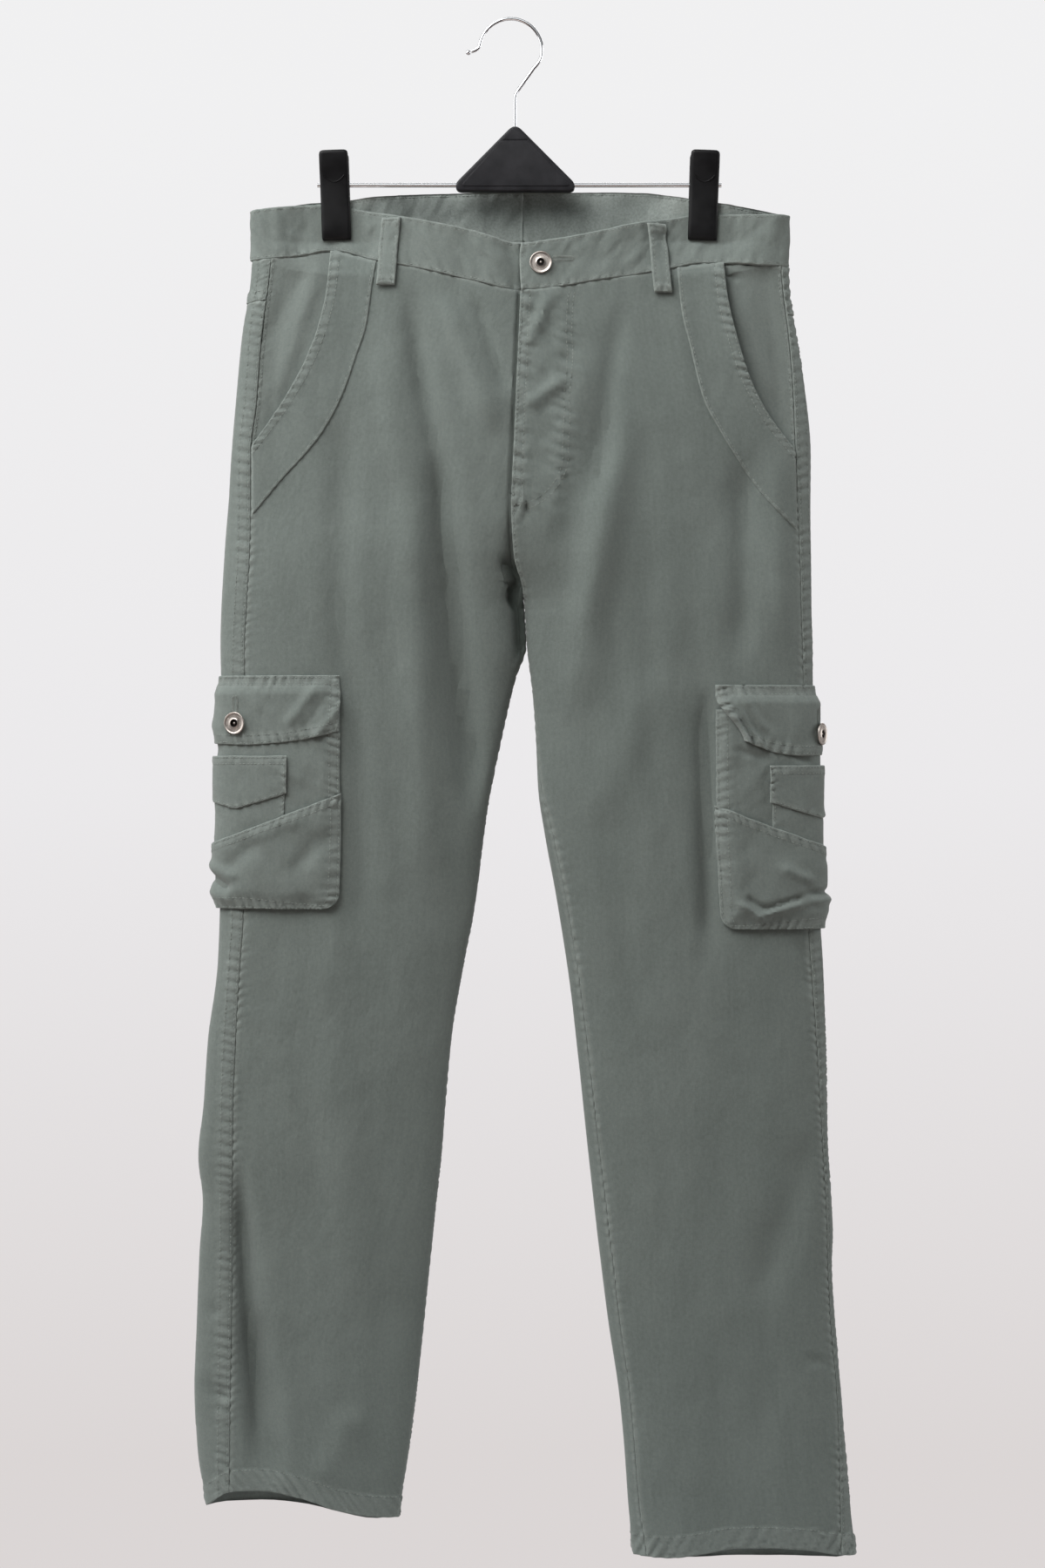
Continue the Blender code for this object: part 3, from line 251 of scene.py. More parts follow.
# Cargo pockets of each leg: middle is measured round the leg from the side fold
POCKET_COLUMNS = ("side", "middle", "flap_top", "flap_drop", "flap_point", "mouth", "bottom",
                  "cut_front", "cut_fall", "small_top", "button_turn", "rolled")
POCKETS = (
    (-1, 20.0, -513.5, 42.0, 54.0, -532.0, -695.0, -605.0, 64.0, -576.0, 20.0, 2.0),
    (1, 4.0, -521.0, 42.0, 55.0, -540.0, -711.0, -615.0, 62.0, -583.5, 4.0, 22.0),
)

# Where the point of each flap hangs, from the pocket's middle, and how far its front edge falls
FLAP_POINTS = {-1: 8.0, 1: 14.0}
FLAP_FRONTS = {-1: 76.0, 1: 48.0}
FLAP_REAR = 89.0

LOOP_WIDTH = 14.0
LOOP_CLOTH = 1.8
LOOP_SEAT = 0.1
LOOP_ARCH = 1.3
# name, side, face, and the middle of its two ends: x_top, x_bottom, z_top, z_bottom
LOOPS = (
    ("belt_loop_front_right", -1, 1, -92.5, -97.3, -156.0, -209.4),
    ("belt_loop_front_left", 1, 1, 112.9, 118.9, -160.0, -215.0),
    ("belt_loop_back_right", -1, -1, -90.0, -90.0, -137.6, -185.0),
    ("belt_loop_back_left", 1, -1, 122.0, 122.0, -139.6, -188.4),
    ("belt_loop_back_centre", 1, -1, 17.0, 17.0, -135.4, -185.0),
)

# Hanger
HOOK_RADIUS = 24.5
HOOK_WIRE = 1.4
BAR_HEIGHT = -129.0
BAR_WIRE = 1.8
BAR_ENDS = (-151.5, 165.0)
CENTRE_PIECE_DEPTH = 5.5
STEM_X = 3.4
STEM_SOCKET = 12.0
APEX_HEIGHT = -81.6
HOOK_TIP = ((-31.0, 0, -24.3), (-24.9, 0, -22.9))
HOOK_SHOULDER = ((22.4, 0, -33.0), (18.2, 0, -37.2))
HOOK_FOOT = ((5.4, 0, -55.2), (STEM_X, 0, -58.4), (STEM_X, 0, -62.0))
BALL_RADIUS = 2.0
BALL_PLACE = (-33.2, 0, -25.1)
CENTRE_OUTLINE = ((STEM_X, -81.0), (50.6, -128.4), (49.4, -134.6), (-42.0, -134.6),
                  (-43.6, -128.4))
CENTRE_CORNERS = (7.5, 4.5, 5.0, 5.0, 4.5)
CENTRE_EDGE = 1.7
CAP_OUTLINE = ((STEM_X, -84.1), (13.0, -94.1), (-6.2, -94.1))
CAP_CORNERS = (3.0, 0.6, 0.6)
PANEL_OUTLINE = ((-7.4, -95.2), (14.2, -95.2), (47.0, -130.5), (-39.6, -130.5))
PANEL_CORNERS = (0.8, 0.8, 4.0, 4.0)
PLATE_FACE = CENTRE_PIECE_DEPTH + 0.1
PLATE_DEPTH = 0.45
PLATE_EDGE = 0.3

# Points nearer than this are merged; edges that turn more than these angles, in degrees, are
# shaded sharp
MERGED = 0.004
CLOTH_SHARP = 55
TURNED_SHARP = 45
PLATE_SHARP = 38
JAW_SHARP = 42

# Smaller creases than the model has: on the fronts, in the hip pockets and on the cargo pockets
CREASES = {
    -1: (
        (-82, -205, -46, -410, 9, -3.6), (-58, -335, -26, -640, 12, -5.6),
        (-100, -240, -66, -470, 12, 1.6), (-76, -400, -62, -700, 13, 2.2),
        (-129, -290, -134, -560, 12, -1.9), (-124, -470, -114, -730, 11, -2.2),
        (0, -385, 8, -520, 6, -3), (-213, -880, -196, -1150, 7, -4),
        (-204, -1000, -182, -1150, 12, -3), (-138, -780, -116, -1020, 20, 1.8),
        (-56, -212, -8, -330, 9, 2.6), (-30, -212, -2, -300, 5, -1.8),
        (-160, -158, -168, -192, 6, -2), (-186, -150, -178, -187, 6, 1.5),
        (-124, -157, -106, -166, 5, 1.3), (-124, -162, -106, -188, 6, -2),
        (-246, -1000, -226, -1014, 5, -1.6), (-249, -1060, -218, -1079, 6, -1.8),
        (-120, -1080, -150, -1150, 12, 1.4),
    ),
    1: (
        (82, -330, 46, -560, 16, 3), (60, -250, 24, -420, 10, 1.6), (152, -500, 153, -760, 8, -2.8),
        (181, -330, 180, -515, 10, -2.6), (207, -330, 212, -500, 9, 1.6),
        (104, -380, 112, -640, 12, -1.6), (88, -215, 62, -385, 8, -2), (98, -290, 50, -500, 12, 2),
        (34, -209, 12, -262, 5, 2), (46, -280, 10, -306, 5, 2), (166, -157, 180, -177, 6, -2),
        (130, -158, 112, -178, 6, -1.6), (223, -715, 236, -766, 5, -1),
        (228, -1044, 258, -1056, 5, -1), (118, -500, 60, -640, 16, 1.3),
    ),
}
FACING_CREASES = {
    -1: (
        (-145, -180, -190, -312, 7, 2.4), (-158, -190, -198, -262, 7, -1.6),
    ),
    1: (
        (162, -196, 180, -205, 3, -2.4), (176, -200, 208, -305, 8, 2),
    ),
}
POCKET_CREASES = {
    -1: {
        "flap": (
            (104, -514, 66, -564, 3, -1), (109, -528, 75, -570, 3.6, 2.6),
            (92, -512, 56, -558, 4.4, 2.4), (-6, -545, 14, -566, 4, 1.2),
        ),
        "cover": (
            (-14, -664, 20, -681, 3.6, -4.2), (-8, -658, 26, -672, 4, 2),
            (-12, -680, 22, -690, 3.5, 1.8), (98, -632, 58, -672, 7, -2),
            (76, -622, 26, -644, 6, 1.8), (40, -640, 10, -668, 6, -1.6),
        ),
        "body": (
            (-20, -560, 10, -575, 5, -1.2),
        ),
    },
    1: {
        "flap": (
            (78, -520, 52, -566, 2.6, -0.6), (70, -522, 44, -560, 3, 2.4),
            (62, -534, 40, -556, 4, -0.8),
        ),
        "cover": (
            (74, -689, 50, -706, 2.4, 3.4), (68, -685, 46, -698, 2.2, -2.2),
            (56, -697, 18, -684, 2, -2.4), (24, -684, -30, -680, 2.2, -2.6),
            (60, -702, 16, -690, 2.8, 3), (24, -690, -30, -687, 3, 2.2), (40, -662, 10, -676, 4, 2),
        ),
        "body": (
            (72, -570, 44, -580, 3, -1.6), (30, -573, 10, -582, 3, -1.4),
        ),
    },
}

# Stitching
STITCH_PITCH = 3.1
STITCH_LENGTH = 2.35
THREAD_WIDTH = 0.3
THREAD_HEIGHT = 0.24
THREAD_PROUD = 0.08
BAR_PITCH = 0.9
BAR_STITCH = 0.8
# Bars of the fly, as x_from, x_to, z_from and z_to, with x in from the middle seam
FLY_BARS = ((38.5, 43.5, -361.0, -361.0), (0.8, 9.0, -360.5, -361.5), (9.0, 9.0, -361.0, -380.0),
            (0.8, 9.0, -380.0, -381.0))
BUTTONHOLE = (41.1, -188.4)

# Strips behind the fly: name, material, thickness and depth below the front; their edges from
# the middle seam, and their top and bottom
FLY_STRIPS = (
    ("fly_zip", "tape", LIGHT_CLOTH, TWILL + LAY_GAP, (-10.0, 14.0), (-216.0, -372.0)),
    ("fly_shield", "twill", TWILL, TWILL + LIGHT_CLOTH + 2 * LAY_GAP, (-12.0, 34.0),
     (-216.0, -386.0)),
)

# What the pieces rest on: the clips, or the waistband
HANGERS = [f"clip_{side}_{where}_lever" for side in ("right", "left")
           for where in ("front", "back")]
WAISTBANDS = ["waistband_right_cloth", "waistband_left_cloth"]

# The long panels stand for three nodes each, and have cloth turned in at the hem
LEG_PANEL = {"parts": ("_upper", "_middle", "_lower"), "turned_in": 27.0,
             "rests_on": WAISTBANDS[:1]}

# Button: radius and height, from its hollow to its back
BUTTON_PROFILE = (
    (0.001, -0.05), (0.45, -0.12), (0.8, -0.4), (0.95, -0.9), (1.4, -1.5), (2.3, -1.5),
    (2.75, -0.7), (2.95, 0.1), (3.2, 0.38), (3.5, 0.36), (3.8, 0.12), (4.3, 0.02), (6.2, 0.0),
    (7.4, 0.02), (7.75, 0.24), (8.1, 0.36), (8.45, 0.24), (8.72, -0.2), (8.7, -0.55), (8.4, -1.0),
    (7.6, -1.35), (3.4, -2.1), (0.001, -2.15),
)
DOTS = 26
DOT_RING = 5.8
DOT_PROFILE = ((0.42, 0.0), (0.36, 0.2), (0.18, 0.32), (0.001, 0.36))

# Lever of a clip: height, outer and inner face from the bar's plane, half width
JAW_SECTIONS = (
    (-102.9, 10.9, 9.9, 8.4), (-103.3, 11.7, 9.1, 9.8), (-104.2, 12.2, 8.5, 10.8),
    (-106.0, 12.1, 8.0, 11.3), (-113.0, 10.7, 6.5, 11.4), (-120.0, 9.2, 5.0, 11.4),
    (-127.0, 7.8, 3.9, 11.4), (-133.0, 7.2, 3.9, 11.4), (-140.0, 6.9, 3.5, 11.4),
    (-148.0, 6.7, 2.75, 11.4), (-160.0, 6.5, 2.75, 11.4), (-170.4, 6.2, 2.75, 11.4),
    (-171.8, 5.6, 2.75, 11.2), (-172.6, 4.5, 2.85, 10.9),
)
THUMB_TOP = -122.4
THUMB_DEPTH = 5.0
THUMB_HALF_WIDTH = 7.8
THUMB_LINE = 0.45
COIL_WIRE = 0.55
COIL_LENGTH = 13.2
COIL_RADIUS = 3.1
COIL_TURNS = 9

# Colours
TWILL_DARK = (0.086, 0.103, 0.095, 1)
TWILL_LIGHT = (0.186, 0.212, 0.199, 1)
# The worn colour is also painted light; the shade colour is painted shade in grooves and hollows
TWILL_WORN_AND_LIT = (0.235, 0.262, 0.247, 1)
TWILL_SHADE = (0.045, 0.056, 0.050, 1)
TAPE_DARK = (0.060, 0.072, 0.066, 1)
TAPE_LIGHT = (0.115, 0.132, 0.122, 1)
THREAD_DARK = (0.150, 0.170, 0.157, 1)
THREAD_LIGHT = (0.240, 0.264, 0.247, 1)
# Painted shade in the button's hollow, and the darker tone of its dots
PAINTED_SHADE_AND_DOTS = (0.03, 0.027, 0.026, 1)
NICKEL = (0.46, 0.42, 0.39, 1)
NICKEL_STAIN = (0.25, 0.20, 0.17, 1)
CHROME = (0.70, 0.71, 0.74, 1)
STEEL = (0.5, 0.5, 0.5, 1)

WALE_PITCH = 0.95
CLIP_DARK = (0.003, 0.003, 0.0035, 1)
CLIP_LIGHT = (0.006, 0.006, 0.007, 1)
CENTRE_DARK = (0.010, 0.010, 0.012, 1)
CENTRE_LIGHT = (0.020, 0.020, 0.023, 1)

# Studio: the wall that the camera sees, the room that lights, and lamps by name, place and size
# in metres, power and colour
# The wall's colours are painted shading: light at the top, darker and warmer towards the bottom
WALL_SPAN = 0.22
WALL_STOPS = ((0.11, (0.708, 0.672, 0.668)), (0.5, (0.831, 0.818, 0.831)),
              (0.9, (0.875, 0.873, 0.880)))
ROOM_STOPS = ((0.0, (0.74, 0.55, 0.48)), (0.5, (0.72, 0.68, 0.68)), (1.0, (0.99, 1.0, 0.99)))
ROOM_FROM_FRONT = 0.05
ROOM_FROM_SIDES = 0.36
LIGHTS = (
    ("key", (-1.25, -1.35, 1.45), (1.7, 1.7), 84.0, (1.0, 1.0, 0.99)),
    ("right", (2.3, -0.1, -0.2), (1.8, 1.8), 29.0, (1.0, 1.0, 0.99)),
    ("left", (-2.3, -0.3, 0.1), (1.8, 1.8), 31.0, (1.0, 1.0, 0.99)),
    ("waist", (-0.25, -0.9, 0.5), (1.1, 1.1), 4.6, (0.98, 1.0, 0.99)),
    ("bounce", (-0.4, -1.7, -2.3), (2.4, 1.6), 11.0, (1.0, 0.80, 0.70)),
    ("behind", (0.4, 2.8, 0.8), (2.4, 2.0), 44.0, (1.0, 1.0, 1.0)),
)
# The place that the lamps face, in metres, and the floor
LIT_PLACE = (0.0, 0.0, -0.62)
FLOOR_RADIUS = 620.0
FLOOR_HEIGHT = -1360.0
FLOOR_COLOUR = (0.60, 0.59, 0.59, 1)

# Camera: level, three metres in front of the trousers
CAMERA_PLACE = (0.0092, -3.010, -0.598)
CAMERA_LENS = 88.235


def smoothstep(value):
    value = np.clip(value, 0.0, 1.0)
    return value * value * (3.0 - 2.0 * value)


def bump(value, middle, width):
    """1 in the middle, falling to nothing on both sides."""
    return np.exp(-((value - middle) / width) ** 2)


def track(places, values):
    """A smooth curve through the rows of a table that never overshoots them."""
    order = np.argsort(places)
    xs = np.array(places, float)[order]
    ys = np.array(values, float)[order]
    slopes = np.diff(ys) / np.diff(xs)
    tangents = np.concatenate([slopes[:1], np.zeros(len(xs) - 2), slopes[-1:]])
    for k in range(1, len(xs) - 1):
        before, after = slopes[k - 1], slopes[k]
        if before * after > 0:
            tangents[k] = 2 * before * after / (before + after)

    def read(x):
        x = np.clip(np.asarray(x, float), xs[0], xs[-1])
        k = np.clip(np.searchsorted(xs, x) - 1, 0, len(xs) - 2)
        span = xs[k + 1] - xs[k]
        t = (x - xs[k]) / span
        start = (1 + 2 * t) * (1 - t) ** 2 * ys[k] + t * (1 - t) ** 2 * span * tangents[k]
        end = t * t * (3 - 2 * t) * ys[k + 1] + t * t * (t - 1) * span * tangents[k + 1]
        return start + end

    return read


def tracks(columns, rows):
    """One smooth curve for each column of a table, read by its first column."""
    places, *values = zip(*rows)
    return {name: track(places, column) for name, column in zip(columns[1:], values)}


DEPTH = tracks(DEPTH_COLUMNS, DEPTHS)
WAIST = tracks(WAIST_COLUMNS, WAIST_EDGES)


def creased(lift, rows, across, z, depth=1.0):
    """Lift with soft straight ridges and troughs added, each fading at both ends."""
    for x_from, z_from, x_to, z_to, width, height in rows:
        run, rise = x_to - x_from, z_to - z_from
        length = math.hypot(run, rise)
        along = ((across - x_from) * run + (z - z_from) * rise) / length
        beside = ((across - x_from) * rise - (z - z_from) * run) / length
        fade = RIDGE_ENDS * length
        ends = smoothstep(along / fade) * smoothstep((length - along) / fade)
        lift = lift + depth * height * ends * bump(beside, 0, width)
    return lift


def noise(across, along, seed):
    """Smooth uneven values between -1 and 1 over a plane, the same at each run."""
    size = 61
    values = np.random.default_rng(seed).uniform(-1, 1, (size, size))
    column, row = np.floor(across).astype(int), np.floor(along).astype(int)
    u, v = smoothstep(across - column), smoothstep(along - row)

    def corner(right, up):
        return values[(column + right) % size, (row + up) % size]

    low = corner(0, 0) * (1 - u) + corner(1, 0) * u
    high = corner(0, 1) * (1 - u) + corner(1, 1) * u
    return low * (1 - v) + high * v


def undulation(side, face, x, z):
    """Slow waves of cloth that hangs free."""
    seed = 20 + 2 * side + face
    broad = noise(x / 38 + 7.3, z / 130 + 0.15 * x / 38, seed)
    small = noise(x / 15 + z / 90, z / 42, seed + 10)
    fine = noise(x / 6.5 + z / 60, z / 15, seed + 15)
    return 1.1 * broad + 0.8 * small + 0.24 * fine


def all_folds(side, face, x, z):
    lift = creased(np.zeros(np.broadcast(x, z).shape), FOLDS[side, face], x, z)
    return creased(lift, CREASES[side * face], x * face, z, CREASING[face])


def within_turn(angle):
    """The same places on a ring, as angles between minus half a turn and half a turn."""
    return np.where(angle < -math.pi, angle + 2 * math.pi, angle)


class Leg:
    """The form of one leg and of the half of the hips above it."""

    def __init__(self, side):
        self.side = side
        self.section = tracks(SECTION_COLUMNS, SECTIONS[side])
        self.hem = tracks(HEM_COLUMNS, HEMS[side])
        self.rings = {}

    def inner(self, z):
        return self.section["inner"](z) + self.side * SEWN_GAP / 2

    def closing(self, front, z):
        """0 where the ring is open at the middle, 1 where it is a closed leg."""
        turns = np.where(front, FRONT_RISE_TURNS, BACK_RISE_TURNS)
        return smoothstep((turns - z) / (turns - CROTCH_HEIGHT))

    def reach(self, front, z):
        width = np.abs(self.inner(z) - self.section["outer"](z))
        return width / (1 + self.closing(front, z))

    def last_angle(self, front, z):
        return np.arccos(-self.closing(front, z))

    def angle_at(self, x, z, front=True):
        """Angle on the front or back where the form is at x."""
        share = np.abs(x - self.section["outer"](z)) / self.reach(front, z)
        angle = np.arccos(np.clip(1 - share, -1, 1))
        return angle if front else -angle

    def inseam_angle(self, z):
        """Angle of the inner seam, or of the middle seam above the crotch."""
        last = self.last_angle(True, z)
        shift = self.section["inseam"](z) / self.reach(True, z)
        return np.where(z < CROTCH_HEIGHT, np.arccos(np.clip(shift - 1, -1, 1)), last)

    def point(self, angle, z):
        """Point of the form at an angle and height, in millimetres."""
        angle, z = np.broadcast_arrays(np.asarray(angle, float), np.asarray(z, float))
        turned = within_turn(angle)
        front = turned >= 0
        closed = self.closing(front, z)
        reach = self.reach(front, z)
        cosine = np.cos(turned)
        from_outer = reach * (1 - cosine)
        from_inner = np.maximum(reach * (closed + cosine), 0)
        x = self.section["outer"](z) - self.side * from_outer
        depth = np.where(front, DEPTH["front"](z), DEPTH["back"](z))
        full = np.sqrt(
            (depth * np.sin(turned)) ** 2
            + 2 * FOLD_RADIUS * from_outer * np.exp(-from_outer / FOLD_REACH)
            + 2 * FOLD_RADIUS * closed ** 4 * from_inner * np.exp(-from_inner / FOLD_REACH))
        # between the jaws of a clip the cloth lies close to the middle plane, without folds
        beside = np.maximum(np.abs(x - CLIP_CENTRES[self.side]) - PINCH_FLAT, 0)
        pinch = bump(beside, 0, PINCH_SPREAD)
        held = PINCH_DEPTH + PINCH_RELEASE * np.maximum(PINCH_ENDS - z, 0)
        stand_off = full * (1 - pinch) + np.minimum(full, held) * pinch
        lift, waves = (np.where(front, form(self.side, 1, x, z), form(self.side, -1, x, z))
                       for form in (all_folds, undulation))
        pressed = bump(beside, 0, PRESSED_SPREAD) * smoothstep((z - PRESSED_ENDS) / 30)
        lift = (lift + waves) * (1 - pressed) * smoothstep((full - FLAT_DEPTH) / 10)
        stand_off = stand_off + lift
        y = np.where(front, -stand_off, stand_off)
        return np.stack([x, y, z], axis=-1)

    def outward(self, angle, z):
        """Unit vector out of the cloth."""
        step = 0.004
        rise = 0.5
        angle = np.minimum(angle, math.pi - 2 * step)
        across = self.point(angle + step, z) - self.point(angle - step, z)
        up = self.point(angle, z + rise) - self.point(angle, z - rise)
        normal = np.cross(across, up) * -self.side
        return normal / np.linalg.norm(normal, axis=-1, keepdims=True)

    def lifted(self, angle, z, lift):
        """Point that stands a distance off the form."""
        return self.point(angle, z) + self.outward(angle, z) * np.asarray(lift)[..., None]

    def ring_lengths(self, index):
        """Angles of one ring, past the inner fold, and their distances from the side fold."""
        if index not in self.rings:
            angles = np.linspace(LAST_BACK_ANGLE, math.pi, 901)
            ring = self.point(angles, np.full(angles.shape, float(index * RING_SPACING)))
            steps = np.linalg.norm(np.diff(ring, axis=0), axis=1)
            lengths = np.concatenate([[0], np.cumsum(steps)])
            self.rings[index] = (angles, lengths - np.interp(0, angles, lengths))
        return self.rings[index]

    def between_rings(self, value, z, back):
        """Distance round the leg at angles, or back from distances to angles."""
        value, z = np.broadcast_arrays(np.asarray(value, float), np.asarray(z, float))
        below = np.floor(z / RING_SPACING).astype(int)
        share = z / RING_SPACING - below
        found = np.zeros(value.shape)
        for step, weight in ((0, 1 - share), (1, share)):
            for index in np.unique(below + step):
                here = below + step == index
                angles, lengths = self.ring_lengths(index)
                known = (lengths, angles) if back else (angles, lengths)
                found[here] += weight[here] * np.interp(value[here], *known)
        return found

    def distance(self, angle, z):
        return self.between_rings(angle, z, False)

    def angle_round(self, distance, z):
        return self.between_rings(distance, z, True)


LEGS = {-1: Leg(-1), 1: Leg(1)}


def by_height(leg, angle):
    """A seam, given as an angle by height, as a distance round the leg by height."""
    heights = np.arange(-1235.0, -120.0, 3.0)
    places = leg.distance(angle(heights), heights)
    return lambda z: np.interp(z, heights, places)


def by_distance(leg, front, back, start):
    """A level edge, given as heights by x, as heights by distance round the leg."""
    places = np.linspace(-400, 280, 341)
    z = np.full(places.shape, float(start))
    for _ in range(4):
        angle = leg.angle_round(places, z)
        x = leg.point(angle, z)[..., 0]
        z = np.where(within_turn(angle) >= 0, front(x), back(x))
    return lambda d: np.interp(d, places, z)


# Places of grid lines near a stitched edge, and the spacing of the rest
EDGE_PLACES = (0, 0.35, 0.8, 1.4, 2.2, 3.1, 4.1, 5.3, 6.7, 8.3, 10.1, 12.0)
GRID_PITCH = 2.6


def spread(length, places=EDGE_PLACES, pitch=GRID_PITCH):
    """Grid lines over a length: millimetres from its start and shares of it."""
    places = [place for place in places if place < 0.45 * length]
    edge = places[-1]
    count = max(int((length - 2 * edge) / pitch), 1)
    share = np.arange(1, count) / count
    fixed = np.concatenate([places, edge * (1 - 2 * share), [-place for place in places[::-1]]])
    share = np.concatenate([np.zeros(len(places)), share, np.ones(len(places))])
    return fixed, share


def puckers(along, pitch, seed):
    """Uneven ripples along a seam, between about -1 and 1: wide ridges, narrow valleys."""
    wander = noise(along / (3.1 * pitch), np.full(along.shape, 0.5), seed)
    strength = noise(along / (2.3 * pitch), np.full(along.shape, 3.5), seed + 1)
    valley = 0.5 - 0.5 * np.cos(2 * math.pi * along / pitch + 4.2 * wander)
    return (1 - 2 * valley ** 2) * (0.7 + 0.75 * strength)


class Cloth:
    """One cut piece as a grid of places on its outer face, rows running down."""

    def __init__(self, side, angle, z, base, thickness):
        self.leg, self.angle, self.z = LEGS[side], angle, z
        self.thickness = thickness
        self.lift = np.zeros(angle.shape) + base
        self.wear_and_painted_light = np.zeros(angle.shape)
        self.inside_painted_light = np.zeros_like(self.wear_and_painted_light)
        self.places = self.leg.point(angle, z)
        self.x = self.places[..., 0]
        self.d = self.leg.distance(angle, z)
        self.rows = []
        self.across = np.linalg.norm(np.diff(self.places, axis=1), axis=-1)
        self.down = np.linalg.norm(np.diff(self.places, axis=0), axis=-1)
        first = np.pad(np.cumsum(self.across, axis=1), ((0, 0), (1, 0)))
        top = np.pad(np.cumsum(self.down, axis=0), ((1, 0), (0, 0)))
        self.off = {"first": first, "last": first[:, -1:] - first,
                    "top": top, "bottom": top[-1:] - top}
        self.along = {"first": top, "last": top, "top": self.d, "bottom": self.d}

    def hem(self, edge, rows, width, raised, ripple, pitch, seed, mask=1.0, drop=0.5, lean=0.35):
        """A turned or felled edge: raised, rippled, grooved at its stitches with painted shade, and
        worn.
        """
        off, along = self.off[edge], self.along[edge]
        mask = np.broadcast_to(mask, off.shape)
        strip = smoothstep((width - off) / 1.3 + 0.5)
        beyond = np.exp(-np.maximum(off - width, 0) / 5)
        waves = puckers(along + lean * off, pitch, seed)
        small = puckers(along - lean * off, pitch * 0.47, seed + 5)
        change = raised * strip + PUCKERING * ripple * (waves + 0.35 * small) * (
            0.45 + 0.55 * strip) * beyond
        for row in rows:
            change = change - ROW_SINKS * bump(off, row, 0.7)
            # Painted shade in the groove of each row
            self.wear_and_painted_light = self.wear_and_painted_light + ROW_PAINTED_SHADE * bump(off, row, 0.9) * mask
            self.rows.append((edge, row, mask))
        change = change - drop * (1 - np.clip(off / 1.1, 0, 1)) ** 2
        self.lift = self.lift + change * mask
        ridges = np.clip(waves, 0, 1) * strip
        lighter = EDGE_WEAR * np.exp(-off / 1.3) + RIDGE_WEAR * ridges + STRIP_WEAR * strip
        self.wear_and_painted_light = self.wear_and_painted_light + (lighter + STEP_WEAR * bump(off, width, 1.0)) * mask

    def make(self, name, nodes, inner_step=3, material="twill"):
        """The wall of cloth as a piece, with UVs in metres of cloth."""
        self.outside = self.leg.lifted(self.angle, self.z, self.lift)
        down, over = (kept_lines(count, inner_step) for count in self.z.shape)
        pick = np.ix_(down, over)
        self.inside = self.leg.lifted(self.angle[pick], self.z[pick],
                                      self.lift[pick] - self.thickness)
        faces = wall_faces(self.z.shape, down, over)
        if self.leg.side > 0:
            faces = [face[::-1] for face in faces]

        def joined(outer, inner, *shape):
            return np.concatenate([outer.reshape(-1, *shape), inner.reshape(-1, *shape)])

        mesh = new_mesh(name, joined(self.outside, self.inside, 3), faces)
        corners = np.zeros(len(mesh.loops), int)
        mesh.loops.foreach_get("vertex_index", corners)
        flat = np.stack([joined(self.d, self.d[pick]), joined(self.z, self.z[pick])], -1)
        mesh.uv_layers.new(name="cloth").data.foreach_set(
            "uv", (flat[corners] * MM).ravel().astype(np.float32))
        set_values(mesh, "wear_and_painted_light", joined(self.wear_and_painted_light, (self.wear_and_painted_light + self.inside_painted_light)[pick]))
        return add_piece(name, smoothed(mesh, CLOTH_SHARP), material, nodes)


def kept_lines(count, step):
    return sorted(set(range(0, count, step)) | {count - 1})


def quads(at):
    """Faces over a grid of vertex numbers."""
    return np.stack([at[:-1, :-1], at[1:, :-1], at[1:, 1:], at[:-1, 1:]], -1).reshape(-1, 4)


def wall_faces(shape, down, over):
    """Faces of a wall: a fine outer grid, a coarser inner one and the rim between."""
    outer = np.arange(shape[0] * shape[1]).reshape(shape)
    inner = outer.size + np.arange(len(down) * len(over)).reshape(len(down), len(over))
    faces = quads(outer).tolist() + quads(inner)[:, [0, 3, 2, 1]].tolist()
    for kept, far, near, turned in ((over, outer, inner, -1), (down, outer.T, inner.T, 0)):
        for k, (a, b) in enumerate(zip(kept, kept[1:])):
            for end in (0, -1):
                line, pair = far[end, a:b + 1].tolist(), near[end, k:k + 2].tolist()
                faces.append(line[::-1] + pair if end == turned else line + pair[::-1])
    return faces


def new_mesh(name, points, faces):
    """A mesh of points in millimetres."""
    mesh = bpy.data.meshes.new(name)
    mesh.from_pydata((np.array(points) * MM).tolist(), [], faces)
    return mesh


def smoothed(mesh, sharp=None):
    """The mesh shaded smooth, but for edges that turn more than an angle in degrees."""
    mesh.shade_smooth()
    if sharp:
        mesh.set_sharp_from_angle(angle=math.radians(sharp))
    return mesh


def cleaned(mesh, rim=0.0):
    """The mesh with near points merged, its faces turned outwards and its rims rounded."""
    shape = bmesh.new()
    shape.from_mesh(mesh)
    bmesh.ops.remove_doubles(shape, verts=shape.verts, dist=MERGED * MM)
    bmesh.ops.recalc_face_normals(shape, faces=shape.faces)
    if rim:
        rims = [edge for edge in shape.edges if len(edge.link_faces) == 2
                and edge.calc_face_angle(0) > math.radians(60)]
        bmesh.ops.bevel(shape, geom=rims, offset=rim * MM, segments=5, profile=0.5,
                        affect="EDGES", clamp_overlap=True)
    shape.to_mesh(mesh)
    shape.free()
    return mesh


def set_values(mesh, name, values):
    """A number for each point of a mesh, for its material to read."""
    mesh.attributes.new(name, "FLOAT", "POINT").data.foreach_set(
        "value", np.array(values, np.float32))


def new_object(name, data):
    obj = bpy.data.objects.new(name, data)
    bpy.context.scene.collection.objects.link(obj)
    return obj


def add_piece(name, data, material, nodes=()):
    obj = new_object(name, data)
    data.materials.append(MATERIALS[material])
    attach(obj, "root")
    if nodes:
        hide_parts(*nodes)
    return obj


